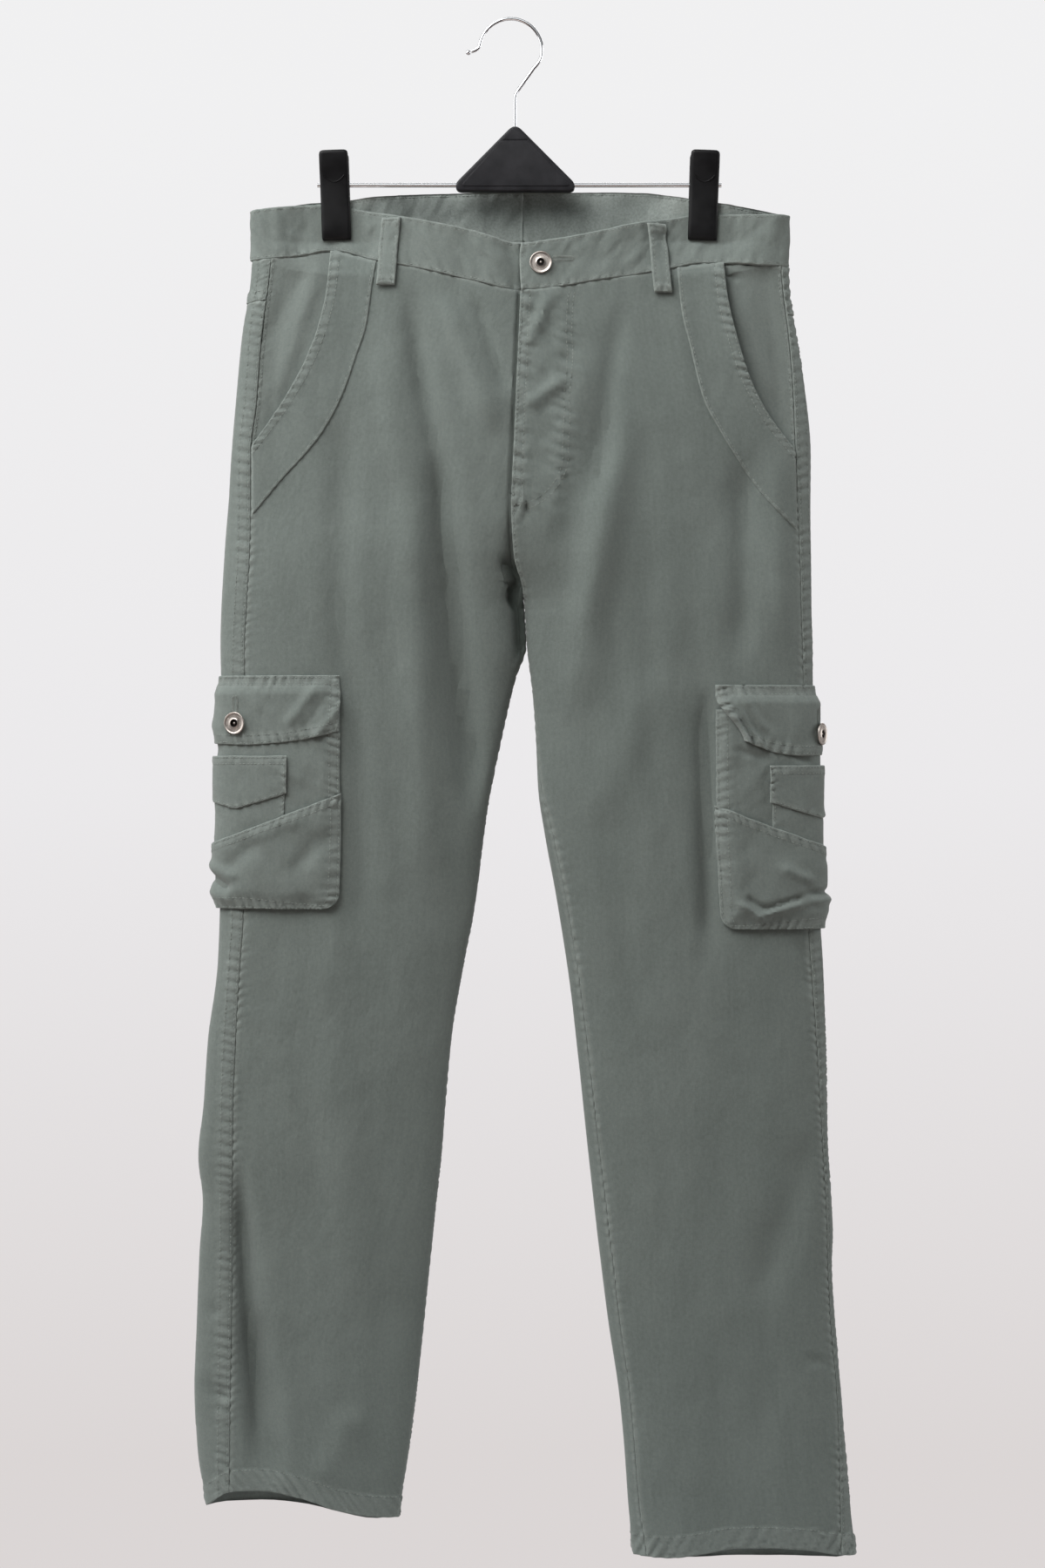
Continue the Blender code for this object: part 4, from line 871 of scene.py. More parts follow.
class Stitches:
    """Thread laid in short stitches, gathered into one mesh."""

    def __init__(self, name):
        self.name, self.spots, self.runs, self.faces_out = name, [], [], []

    def lay(self, points, normals, keep, pitch=STITCH_PITCH, length=STITCH_LENGTH):
        """Stitches along a path, left out where keep is below a half."""
        steps = np.linalg.norm(np.diff(points, axis=0), axis=1)
        travelled = np.concatenate([[0], np.cumsum(steps)])
        count = int(travelled[-1] / pitch)
        if count < 1:
            return
        start = (np.arange(count) + 0.5 * (1 - length / pitch)) * pitch
        ends = [np.stack([np.interp(place, travelled, points[:, k]) for k in range(3)], -1)
                for place in (start, start + length)]
        out = np.stack([np.interp(start, travelled, normals[:, k]) for k in range(3)], -1)
        shown = np.interp(start, travelled, keep) > 0.5
        self.spots.append((0.5 * (ends[0] + ends[1]))[shown])
        self.runs.append((ends[1] - ends[0])[shown])
        self.faces_out.append(out[shown])

    def sew(self, cloth):
        """All the stitch rows that a piece of cloth asks for."""
        for row in cloth.rows:
            self.along_edge(cloth, *row)

    def along_edge(self, cloth, edge, off, mask=1.0, inside=False):
        """A row of stitches at a distance from one edge."""
        distance = cloth.off[edge]
        mask = np.broadcast_to(mask, distance.shape)
        lines = distance if edge in ("first", "last") else distance.T
        backwards = edge in ("last", "bottom")
        lines = lines[:, ::-1] if backwards else lines
        at = np.array([np.interp(off, line, np.arange(len(line))) for line in lines])
        at = lines.shape[1] - 1 - at if backwards else at
        here = np.arange(len(at), dtype=float)
        row, column = (here, at) if edge in ("first", "last") else (at, here)
        self.over(cloth, row, column, mask, inside)

    def over(self, cloth, row, column, mask=1.0, inside=False, **sizes):
        """Stitches over a path of grid places, given as fractional rows and columns."""
        mask = np.broadcast_to(mask, cloth.z.shape)
        points = cloth.inside if inside else cloth.outside
        normals = face_normals(points, -cloth.leg.side if inside else cloth.leg.side)
        self.lay(between(points, row, column) + THREAD_PROUD * between(normals, row, column),
                 between(normals, row, column), between(mask[..., None], row, column)[:, 0],
                 **sizes)

    def path(self, cloth, places, **sizes):
        """Stitches over a path given as distances round the leg and heights."""
        row, column = np.array([seek(cloth, d, z) for d, z in places]).T
        self.over(cloth, row, column, **sizes)

    def make(self):
        spots, runs = np.concatenate(self.spots), np.concatenate(self.runs)
        out = np.concatenate(self.faces_out)
        length = np.linalg.norm(runs, axis=1, keepdims=True)
        keep = length[:, 0] > 0.3
        spots, runs, out, length = spots[keep], runs[keep], out[keep], length[keep]
        along = runs / length
        beside = np.cross(along, out)
        beside /= np.linalg.norm(beside, axis=1, keepdims=True)
        up = np.cross(beside, along)
        ring = [(share, math.cos(t), math.sin(t)) for share in (-0.27, 0.27)
                for t in (0, math.pi / 2, math.pi, 1.5 * math.pi)]
        points = [spots + along * length * share + beside * THREAD_WIDTH * side
                  + up * THREAD_HEIGHT * height
                  for share, side, height in [(-0.5, 0, -0.25), *ring, (0.5, 0, -0.25)]]
        faces = [(0, 1 + (k + 1) % 4, 1 + k) for k in range(4)]
        faces += [(1 + k, 1 + (k + 1) % 4, 5 + (k + 1) % 4, 5 + k) for k in range(4)]
        faces += [(9, 5 + k, 5 + (k + 1) % 4) for k in range(4)]
        faces = [[len(points) * n + k for k in face] for n in range(len(spots)) for face in faces]
        mesh = new_mesh(self.name, np.stack(points, 1).reshape(-1, 3), faces)
        return add_piece(self.name, smoothed(mesh), "thread")


def face_normals(points, side):
    across = np.gradient(points, axis=1)
    down = np.gradient(points, axis=0)
    normal = np.cross(across, down) * side
    return normal / np.maximum(np.linalg.norm(normal, axis=-1, keepdims=True), 1e-9)


def between(values, row, column):
    """Values of a grid at fractional rows and columns."""
    row = np.clip(row, 0, values.shape[0] - 1.001)
    column = np.clip(column, 0, values.shape[1] - 1.001)
    r, c = row.astype(int), column.astype(int)
    u, v = (column - c)[:, None], (row - r)[:, None]
    low = values[r, c] * (1 - u) + values[r, c + 1] * u
    high = values[r + 1, c] * (1 - u) + values[r + 1, c + 1] * u
    return low * (1 - v) + high * v


def seek(cloth, d, z):
    """Fractional row and column of a place on a piece of cloth."""
    rows, columns = cloth.z.shape
    column = columns / 2
    for _ in range(5):
        c = int(min(column, columns - 2))
        heights = cloth.z[:, c] + (cloth.z[:, c + 1] - cloth.z[:, c]) * (column - c)
        row = float(np.interp(-z, -heights, np.arange(rows)))
        r = int(min(row, rows - 2))
        distances = cloth.d[r] + (cloth.d[r + 1] - cloth.d[r]) * (row - r)
        column = float(np.interp(d, distances, np.arange(columns)))
    return row, column


class Nodes:
    """A node tree that is filled by calls; each value is a number, a colour or an output."""

    def __init__(self, tree):
        self.tree = tree

    def put(self, socket, value):
        if isinstance(value, bpy.types.NodeSocket):
            self.tree.links.new(value, socket)
        elif value is not None:
            socket.default_value = value

    def node(self, kind, *values, **settings):
        """Outputs of a new node; values fill its inputs in order, settings are its fields."""
        node = self.tree.nodes.new("ShaderNode" + kind)
        for name, value in settings.items():
            setattr(node, name, value)
        for socket, value in zip([s for s in node.inputs if s.enabled], values):
            self.put(socket, value)
        return node.outputs

    def math(self, operation, *values):
        return self.node("Math", *values, operation=operation)[0]

    def total(self, first, *rest):
        """Sum of values; a pair is a value and its weight."""
        def term(value):
            return self.math("MULTIPLY", *value) if isinstance(value, tuple) else value

        result = term(first)
        for value in rest:
            result = self.math("ADD", result, term(value))
        return result

    def clamp(self, value):
        return self.node("Clamp", value)[0]

    def scaled(self, vector, scale):
        return self.node("VectorMath", vector, scale, operation="MULTIPLY")[0]

    def noise(self, vector, scale, detail=2.0, rough=0.5):
        return self.node("TexNoise", vector, scale, detail, rough)[0]

    def mix(self, share, a, b):
        return self.node("Mix", share, a, b, data_type="RGBA")[2]

    def stretch(self, value, low, high, to_low=0.0, to_high=1.0):
        return self.node("MapRange", value, low, high, to_low, to_high)[0]

    def bump(self, height, depth, strength, normal=None):
        return self.node("Bump", strength, depth, None, height, normal)[0]

    def ramp(self, place, stops):
        """Colours by place, from pairs of a place and a colour."""
        colour = self.node("ValToRGB", place)[0]
        elements = colour.node.color_ramp.elements
        while len(elements) < len(stops):
            elements.new(0.5)
        for element, (at, shade) in zip(elements, stops):
            element.position, element.color = at, (*shade, 1)
        return colour


class Shading(Nodes):
    """A material with a Principled shader."""

    def __init__(self, name, **sockets):
        self.material = bpy.data.materials.new(name)
        self.material.use_nodes = True
        super().__init__(self.material.node_tree)
        self.place = self.node("TexCoord")[3]
        self.set(**sockets)

    def set(self, **sockets):
        shader = self.tree.nodes["Principled BSDF"]
        for name, value in sockets.items():
            self.put(shader.inputs[name.replace("_", " ")], value)
        return self.material


def twill_material(name, dark, light, lighter, shaded, line_depth):
    """Garment-washed twill: diagonal wales, uneven yarns, mottling and worn ridges, with painted
    light and painted shade.
    """
    shade = Shading(name, Roughness=0.9, Sheen_Weight=0.22, Sheen_Roughness=0.45,
                    Specular_IOR_Level=0.18)
    flat = shade.scaled(shade.node("UVMap", uv_map="cloth")[0], (1000, 1000, 1))

    def weave(across, along, detail=2.0, rough=0.6):
        """Noise over the cloth, with its own scale each way."""
        return shade.noise(shade.scaled(flat, (across, along, 1)), 1.0, detail, rough)

    parts = shade.node("SeparateXYZ", flat)
    slope = shade.total((parts[0], 0.74), (parts[1], 1.0), (shade.noise(flat, 0.35, 1.0), 0.7))
    wales = shade.math("SINE", shade.math("MULTIPLY", slope, 2 * math.pi / WALE_PITCH))
    grain = shade.total((weave(1.9, 0.35), 0.55), (weave(0.3, 1.6), 0.45))
    share = shade.total(
        shade.stretch(grain, 0.3, 0.7, -0.13, 0.13),
        (wales, 0.08),
        shade.stretch(weave(0.42, 0.022, 2.0, 0.55), 0.35, 0.65, -0.03, 0.03),
        shade.stretch(weave(0.36, 0.28, 3.0, 0.7), 0.3, 0.7, -0.11, 0.11),
        shade.stretch(shade.noise(shade.place, 21.0, 3.0, 0.55), 0.3, 0.7, 0.40, 0.53),
        shade.stretch(shade.noise(shade.place, 6.0), 0.35, 0.65, -0.02, 0.02))
    wear_and_painted_light = shade.node("Attribute", attribute_name="wear_and_painted_light")[2]
    patchy = shade.stretch(shade.noise(flat, 0.55, 3.0, 0.65), 0.32, 0.62, 0.35, 1.0)
    # Above zero the attribute lightens the cloth: real wear on edges and ridges, painted light on
    # the waistband and hip facings
    colour = shade.mix(shade.clamp(shade.math("MULTIPLY", wear_and_painted_light, patchy)),
                       shade.mix(shade.clamp(share), dark, light), lighter)
    # Below zero the attribute is painted shade: stitch grooves, pucker valleys and the crotch
    # hollow darken towards the shade colour
    painted_shade = shade.clamp(shade.math("MULTIPLY", wear_and_painted_light, -1.0))
    relief = shade.bump(shade.total((wales, 0.32), grain), line_depth, 0.6)
    return shade.set(Base_Color=shade.mix(painted_shade, colour, shaded),
                     Normal=shade.bump(weave(0.11, 0.07, 3.0, 0.55), 0.0016, 0.5, relief))


def metal_material(name, colour, roughness, stain=None):
    shade = Shading(name, Metallic=1.0)
    cloud = shade.noise(shade.place, 180.0 if stain else 25.0, 4.0, 0.6)
    if stain:
        tarnish = shade.stretch(shade.noise(shade.place, 900.0, 3.0, 0.6), 0.45, 0.75, 0.0, 0.6)
        # Painted shade in hollows and the darker tone of dots, by a share for each point
        painted_shade_and_dark_dots = shade.node("Attribute", attribute_name="painted_shade_and_dark_dots")[2]
        colour = shade.mix(painted_shade_and_dark_dots, shade.mix(tarnish, colour, stain), PAINTED_SHADE_AND_DOTS)
        shade.set(Normal=shade.bump(cloud, 0.00004, 0.25))
    return shade.set(Base_Color=colour, Roughness=shade.stretch(
        cloud, 0.3, 0.7, 0.75 * roughness, 1.35 * roughness))


def plastic_material(name, dark, light, grain_size, grain_depth):
    """Moulded plastic, smooth or spark-grained, a little rubbed."""
    shade = Shading(name, Specular_IOR_Level=0.2)
    grain = shade.noise(shade.place, 1 / grain_size, 2.0, 0.6)
    rubbed = shade.noise(shade.place, 60.0, 4.0, 0.6)
    return shade.set(Base_Color=shade.mix(shade.stretch(rubbed, 0.35, 0.7), dark, light),
                     Roughness=shade.stretch(rubbed, 0.3, 0.7, 0.42, 0.58),
                     Normal=shade.bump(grain, grain_depth, 0.5))


def thread_material():
    shade = Shading("thread", Roughness=0.75, Sheen_Weight=0.1, Specular_IOR_Level=0.25)
    tone = shade.noise(shade.place, 260.0, 2.0, 0.6)
    twist = shade.noise(shade.place, 2400.0, 1.0)
    return shade.set(Base_Color=shade.mix(shade.stretch(tone, 0.3, 0.7), THREAD_DARK, THREAD_LIGHT),
                     Normal=shade.bump(twist, 0.0001, 0.5))


# Spacing of grid lines down and across the long panels, and near a hem
PANEL_DOWN = 1.35
PANEL_ACROSS = 4.0
HEM_PLACES = EDGE_PLACES + (13.6, 15.0, 16.0, 16.8, 17.5, 18.4, 20.0)
HEM_FOLD = 17.0
FELL_WIDTH = 11.5
FELL_ROWS = (1.8, 9.8)
MIDDLE_ROWS = {-1: (), 1: (1.8, 7.8)}
FLY_WIDTH = 38.5
FLY_ROW_GAP = 4.4
FLY_TURNS = -343.0
MOUTH_GAPES = {-1: 1.6, 1: 3.2}
FACING_UNDER = 18.0
FACING_BOTTOM = -352.0
FLY_FOOT = -452.0
OVERLAPS = {-1: 7.0, 1: -SEWN_GAP}
FLY_TRENCH = 1.8


class Seams:
    """The lines that the pieces of one side are cut to."""

    def __init__(self, side):
        leg = LEGS[side]
        self.side = side
        self.mouth_x = track(*zip(*POCKET_MOUTHS[side]))
        self.band_x = track(*zip(*BAND_EDGES[side]))
        self.outer = by_height(leg, lambda z: leg.angle_at(leg.section["outseam"](z), z))
        self.mouth = by_height(leg, lambda z: leg.angle_at(self.mouth_x(z), z))
        self.inner_front, self.inner_back = (
            by_height(leg, lambda z: np.where(z < CROTCH_HEIGHT + 1, leg.inseam_angle(z) - turn,
                                              face * leg.last_angle(face > 0, z)))
            for face, turn in ((1, 0.0), (-1, 2 * math.pi)))
        self.waist_top = by_distance(leg, WAIST["front_top"], WAIST["back_top"], -150)
        self.waist_low = by_distance(leg, WAIST["front_bottom"], WAIST["back_bottom"], -190)
        self.hem = by_distance(leg, leg.hem["front"], leg.hem["back"], -1170)

    def under_waistband(self, d):
        return self.waist_low(d) - SEWN_GAP

    def front_outer(self, z):
        """The pocket mouth, and the side seam below it."""
        return np.where(z > MOUTH_ENDS[self.side], self.mouth(z), self.outer(z) + SEWN_GAP)

    def front_inner(self, z):
        """The middle seam, lapped at the fly, and the inner seam below it."""
        return self.inner_front(z) + OVERLAPS[self.side] * fly_part(z)

    def back_inner(self, z):
        return self.inner_back(z) + SEWN_GAP

    def back_outer(self, z):
        return self.outer(z) - SEWN_GAP

    def yoke(self, d):
        start, end = self.inner_back(-240.0), self.outer(-225.0)
        share = (d - start) / (end - start)
        return YOKE_AT_CENTRE + (YOKE_AT_SIDE[self.side] - YOKE_AT_CENTRE) * share


SEAMS = {-1: Seams(-1), 1: Seams(1)}


def level(height):
    return lambda d: np.full(np.shape(d), float(height))


def panel(side, first, last, top, bottom, high, low, base=0.0, thickness=TWILL,
          down=PANEL_DOWN, across=PANEL_ACROSS, ends=EDGE_PLACES):
    """A piece between side edges by height and level edges by distance."""
    width = float(np.mean(last(np.linspace(low, high, 9)) - first(np.linspace(low, high, 9))))
    row, row_share = (values[:, None] for values in spread(high - low, ends, down))
    column, column_share = spread(width, pitch=across)
    z = np.full((len(row), len(column)), 0.5 * (high + low))
    for _ in range(7):
        start, end = first(z), last(z)
        d = start + column + column_share * (end - start)
        upper, lower = top(d), bottom(d)
        z = upper - row - row_share * (upper - lower)
    return Cloth(side, LEGS[side].angle_round(d, z), z, base, thickness)


def gape(side, from_mouth, z):
    """How far a pocket mouth stands open along its length."""
    high, low = -188.0, MOUTH_ENDS[side] + 12
    share = np.clip((high - z) / (high - low), 0, 1)
    return MOUTH_GAPES[side] * np.sin(math.pi * share) ** 1.4 * np.exp(-(from_mouth / 16) ** 2)


def span(z, high, low, soft=3.0):
    """1 between two heights, fading to 0 past them."""
    return smoothstep((high - z) / soft + 0.5) * smoothstep((z - low) / soft + 0.5)


def fly_part(z):
    """1 where the fronts overlap at the fly, 0 below it."""
    return smoothstep((z - FLY_FOOT) / 14)


def turned_hem(cloth, seed):
    cloth.hem("bottom", (HEM_FOLD - 0.8,), HEM_FOLD, 0.45, 0.34, 9.0, seed, lean=0.7)


def finished(cloth, node, extra=None, parts=("",), turned_in=0.0, rests_on=WAISTBANDS, **made):
    """Make a piece with its stitches."""
    name = f"{node}_cloth"
    piece = cloth.make(name, [node + part for part in parts], **made)
    if cloth.rows or extra:
        stitches = Stitches(f"{node}_stitches")
        stitches.sew(cloth)
        if extra:
            extra(stitches, cloth)
        stitches.make()


def front_panel(side):
    seams = SEAMS[side]
    cloth = panel(side, seams.front_outer, seams.front_inner, seams.under_waistband, seams.hem,
                  -190.0, -1160.0, ends=HEM_PLACES)
    at_mouth = span(cloth.z, 0, MOUTH_ENDS[side])
    above_crotch = span(cloth.z, 0, -455, 12)
    cloth.lift += gape(side, cloth.off["first"], cloth.z) * at_mouth
    cloth.hem("first", (), 3.0, 0.0, 0.22, 7.5, 31 + side, mask=1 - at_mouth)
    cloth.hem("top", (), 2.0, 0.0, 0.2, 9.0, 35 + side, drop=0.3)
    turned_hem(cloth, 37 + side)
    cloth.hem("last", (), 3.0, 0.0, 0.16, 9.0, 41 + side, mask=1 - above_crotch)
    if side > 0:
        shape_fly(cloth, above_crotch)
    else:
        shape_underlap(cloth)
    finished(cloth, f"front_{SIDE_NAMES[side]}", sew_fly if side > 0 else None, **LEG_PANEL)


def shape_fly(cloth, above_crotch):
    """The left front over the fly: raised, and puckered along its curved stitching."""
    off, z = cloth.off["last"], cloth.z
    straight = z > FLY_TURNS
    turn = np.where(straight, off, np.hypot(off, z - FLY_TURNS)) - FLY_WIDTH
    round_turn = FLY_TURNS - FLY_WIDTH * np.arctan2(FLY_TURNS - z, np.maximum(off, 1e-3))
    ripple = puckers(np.where(straight, z, round_turn) + 0.5 * turn, 9.0, 45)
    beside = bump(turn, 2.0, 8.0)
    crumple = noise(cloth.x / 5.5 + z / 20, z / 8, 52) * smoothstep((50 - off) / 8)
    cloth.lift += 0.75 * smoothstep(0.5 - turn / 2.5)
    cloth.lift += 1.3 * ripple * beside * smoothstep(off / 12)
    cloth.lift += 1.2 * crumple * span(z, -200, -385, 12)
    # Pucker ridges wear lighter; their valleys are painted a little darker as shade
    cloth.wear_and_painted_light += 0.2 * beside * np.clip(ripple, -0.3, 1)
    at_fly = span(z, -205, FLY_TURNS - FLY_WIDTH, 8)
    cloth.hem("last", (1.8, 7.4), 9.0, 0.2, 0.42, 9.5, 47, mask=at_fly, lean=-0.5)
    cloth.hem("last", (1.8,), 3.5, 0.1, 0.2, 9.0, 49, mask=above_crotch * (1 - at_fly))
    for row in (0.0, FLY_ROW_GAP):
        cloth.lift -= 0.15 * bump(turn, row, 0.7)


def shape_underlap(cloth):
    """The right front under the fly's edge, and the hollow of its inner fold below it, painted dark
    as shade.
    """
    off = cloth.off["last"]
    under = smoothstep((OVERLAPS[-1] + 2.6 - off) / 2.6)
    trench = FLY_TRENCH * bump(off, OVERLAPS[-1] + 1.0, 1.2)
    at_fly = fly_part(cloth.z)
    cloth.lift -= ((TWILL + LAY_GAP) * under + trench) * at_fly
    edge = np.maximum(off - OVERLAPS[-1] * at_fly, 0)
    inner_fold = smoothstep((15 - edge) / 5) * span(cloth.z, -425, -497, 22)
    cloth.lift -= 4.2 * inner_fold * smoothstep(edge / 5)
    # The hollow of the inner fold is painted dark as the shade between the legs
    cloth.wear_and_painted_light -= 1.3 * inner_fold


def sew_fly(stitches, cloth):
    """The curved stitching of the fly and the bars that lock it."""
    centre = SEAMS[1].inner_front
    for width in (FLY_WIDTH, FLY_WIDTH + FLY_ROW_GAP):
        path = [(float(centre(z)) - width, z) for z in np.arange(-214.0, FLY_TURNS, -2.0)]
        for turn in np.linspace(0, math.pi / 2, 24):
            z = FLY_TURNS - width * math.sin(turn)
            path.append((float(centre(z)) - width * math.cos(turn) - 0.5, z))
        stitches.path(cloth, path)
    for x_from, x_to, z_from, z_to in FLY_BARS:
        path = [(float(centre(z)) - x, z) for x, z in zip(np.linspace(x_from, x_to, 9),
                                                          np.linspace(z_from, z_to, 9))]
        stitches.path(cloth, path, pitch=BAR_PITCH, length=BAR_STITCH)


def back_panel(side):
    seams = SEAMS[side]
    cloth = panel(side, seams.back_inner, seams.back_outer, lambda d: seams.yoke(d) - SEWN_GAP,
                  seams.hem, -235.0, -1165.0, ends=HEM_PLACES)
    cloth.hem("last", FELL_ROWS, FELL_WIDTH, 0.6, 0.22, 8.4, 61 + side)
    cloth.hem("top", (), 3.0, 0.0, 0.2, 8.0, 65 + side)
    turned_hem(cloth, 67 + side)
    cloth.hem("first", MIDDLE_ROWS[side], 8.5, 0.3, 0.25, 9.0, 69 + side,
              mask=span(cloth.z, 0, -455, 12))
    cloth.hem("first", (), 3.0, 0.0, 0.16, 9.0, 73 + side, mask=span(cloth.z, -455, -1300, 12))
    finished(cloth, f"back_{SIDE_NAMES[side]}", **LEG_PANEL)


def back_yoke(side):
    seams = SEAMS[side]
    cloth = panel(side, seams.back_inner, seams.back_outer, seams.under_waistband, seams.yoke,
                  -185.0, -240.0, down=1.9, across=2.4)
    cloth.hem("bottom", (1.8, 7.8), 8.8, 0.45, 0.3, 8.0, 81 + side)
    cloth.hem("last", FELL_ROWS, FELL_WIDTH, 0.6, 0.2, 8.4, 83 + side)
    cloth.hem("first", MIDDLE_ROWS[side], 8.5, 0.3, 0.25, 9.0, 87 + side)
    cloth.hem("top", (), 2.0, 0.0, 0.2, 9.0, 85 + side, drop=0.3)
    finished(cloth, f"back_yoke_{SIDE_NAMES[side]}")


def hip_facing(side):
    """The cloth that shows inside a hip pocket, with an edge hidden under the front."""
    leg, seams = LEGS[side], SEAMS[side]
    hidden = by_height(leg, lambda z: leg.angle_at(seams.mouth_x(z) - side * FACING_UNDER, z))
    cloth = panel(side, lambda z: seams.outer(z) + SEAM_GAP, hidden, seams.under_waistband,
                  level(FACING_BOTTOM), -188.0, FACING_BOTTOM, thickness=LIGHT_CLOTH, down=2.0,
                  across=2.0)
    open_here = span(cloth.z, -192, MOUTH_ENDS[side], 30)
    sunk = smoothstep(cloth.off["first"] / 14)
    cloth.lift -= (TWILL + 0.5) * smoothstep((cloth.off["first"] + 2) / 6)
    cloth.lift -= (1.2 + 0.7 * MOUTH_GAPES[side]) * open_here * sunk
    cloth.hem("first", (2.0,), 2.6, 0.0, 0.2, 7.5, 91 + side)
    cloth.hem("top", (), 2.0, 0.0, 0.25, 8.0, 93 + side, drop=0.3)
    cloth.lift = creased(cloth.lift, FACING_CREASES[side], cloth.x, cloth.z)
    in_sight = smoothstep((cloth.off["last"] - FACING_UNDER - 1.5) / 6)
    cloth.lift += 1.5 * np.exp(-cloth.off["top"] / 7) * in_sight
    # The facing is painted lighter, as light on its bulge that faces up and to the left
    cloth.wear_and_painted_light += FACING_PAINTED_LIGHT
    finished(cloth, f"hip_pocket_facing_{SIDE_NAMES[side]}")


def hip_band(side):
    """The band sewn on the front along a pocket's mouth."""
    leg, seams = LEGS[side], SEAMS[side]
    tops = [float(WAIST["front_bottom"](x)) - CURVED_SEAM_GAP
            for x in (seams.mouth_x(-186.0), seams.band_x(-190.0))]
    down = np.linspace(0, 1, 116)[:, None]
    high = tops[0] + (MOUTH_ENDS[side] - tops[0]) * down
    low = tops[1] + (BAND_ENDS[side] - tops[1]) * down
    fixed, share = spread(BAND_WIDTH, pitch=2.2)
    across = (fixed / BAND_WIDTH + share)[None, :]
    z = high + (low - high) * across
    x = seams.mouth_x(high) + (seams.band_x(low) - seams.mouth_x(high)) * across
    cloth = Cloth(side, leg.angle_at(x, z), z, BAND_LIFT, LIGHT_CLOTH)
    cloth.lift += gape(side, cloth.off["first"], cloth.z)
    cloth.hem("first", (1.8, 7.6), 8.4, 0.25, 0.3, 7.5, 101 + side, drop=0.6)
    cloth.hem("last", (2.4,), 2.8, 0.1, 0.2, 8.0, 105 + side, drop=0.7)
    cloth.hem("top", (), 2.0, 0.0, 0.15, 8.0, 107 + side, drop=0.5)
    cloth.hem("bottom", (), 2.0, 0.0, 0.1, 8.0, 109 + side, drop=0.9)
    finished(cloth, f"hip_pocket_band_{SIDE_NAMES[side]}")


def back_lean(cloth):
    """How far the middle of the back waistband leans out towards its top."""
    near_middle = smoothstep((np.abs(cloth.x) - 100) / -40)
    return BACK_LEAN * np.clip(1 - cloth.off["top"] / 40, 0, 1) * near_middle


def waistband(side):
    """Half of the waistband; the end of the right half runs on behind the left one's."""
    leg, seams = LEGS[side], SEAMS[side]
    underlap = by_height(leg, lambda z: leg.angle_at(UNDERLAP_END, z))
    end = (underlap if side < 0 else seams.inner_front)(WAIST_MIDDLE)
    middle = by_height(leg, lambda z: -leg.last_angle(False, z))
    cloth = panel(side, lambda z: middle(np.clip(z, -185, -140)), level(end), seams.waist_top,
                  seams.waist_low, -150.0, -190.0, base=WAISTBAND_PROUD,
                  thickness=WAISTBAND_CLOTH, down=1.6, across=1.6)
    ahead = cloth.angle >= 0
    if side < 0:
        seam_x = leg.inner(WAIST_MIDDLE)
        under = smoothstep((cloth.x - UNDERLAP_STARTS) / (seam_x - 4 - UNDERLAP_STARTS))
        trench = FLY_TRENCH * bump(cloth.x, seam_x - 0.9, 1.3)
        cloth.lift -= np.where(ahead, under * (WAISTBAND_CLOTH + LAY_GAP) + trench, 0)
    held = np.exp(-(np.abs(cloth.x - CLIP_CENTRES[side]) / 17) ** 4) * (cloth.z > PINCH_ENDS)
    free = 1 - held
    cloth.hem("top", (2.2,), 3.2, 0.12, 0.2, 9.0, 111 + side, drop=0.9, mask=0.35 + 0.65 * free)
    cloth.hem("bottom", (2.2,), 3.2, 0.12, 0.2, 9.0, 115 + side, drop=0.7)
    if side > 0:
        cloth.hem("last", (2.2,), 3.2, 0.1, 0.15, 9.0, 119, drop=0.9)
    cloth.hem("first", (), 2.0, 0.0, 0.1, 9.0, 121 + side, drop=0.3)
    drag = noise(cloth.d / 11 + cloth.z / 30, cloth.z / 26, 125 + side)
    small_drag = noise(cloth.d / 5 + cloth.z / 12, cloth.z / 9, 129 + side)
    cloth.lift += (1.1 * drag + 0.6 * small_drag) * free
    # The whole waistband is painted lighter, as light from above
    cloth.wear_and_painted_light += WAISTBAND_PAINTED_LIGHT
    # The inside of the back waistband is painted lighter, as light that the shadows of the hanger
    # and clips take away
    cloth.inside_painted_light = np.where(ahead, 0, WAISTBAND_INSIDE_PAINTED_LIGHT)
    cloth.lift += np.where(ahead, 0, back_lean(cloth))
    finished(cloth, f"waistband_{SIDE_NAMES[side]}", sew_waistband, inner_step=1,
             rests_on=HANGERS)


def sew_waistband(stitches, cloth):
    """The inner rows of the waistband, and the buttonhole at its overlapping end."""
    for edge in ("top", "bottom"):
        stitches.along_edge(cloth, edge, 2.2, inside=True)
    if cloth.leg.side > 0:
        x, z = BUTTONHOLE
        d = float(LEGS[1].distance(LEGS[1].angle_at(x, z), z))
        buttonhole(stitches, cloth, d, z, 15.0, upright=False)


def buttonhole(stitches, cloth, d, z, length, upright):
    """A close ring of thread round a slit."""
    turns = np.linspace(0, 2 * math.pi, 73)
    for width in (1.0, 1.6, 2.2):
        along = (0.5 * length + width - 1) * np.cos(turns)
        aside = width * np.sign(np.sin(turns)) * np.abs(np.sin(turns)) ** 0.4
        ring = zip(aside, along) if upright else zip(along, aside)
        stitches.path(cloth, [(d + right, z + up) for right, up in ring],
                      pitch=0.95, length=1.15)


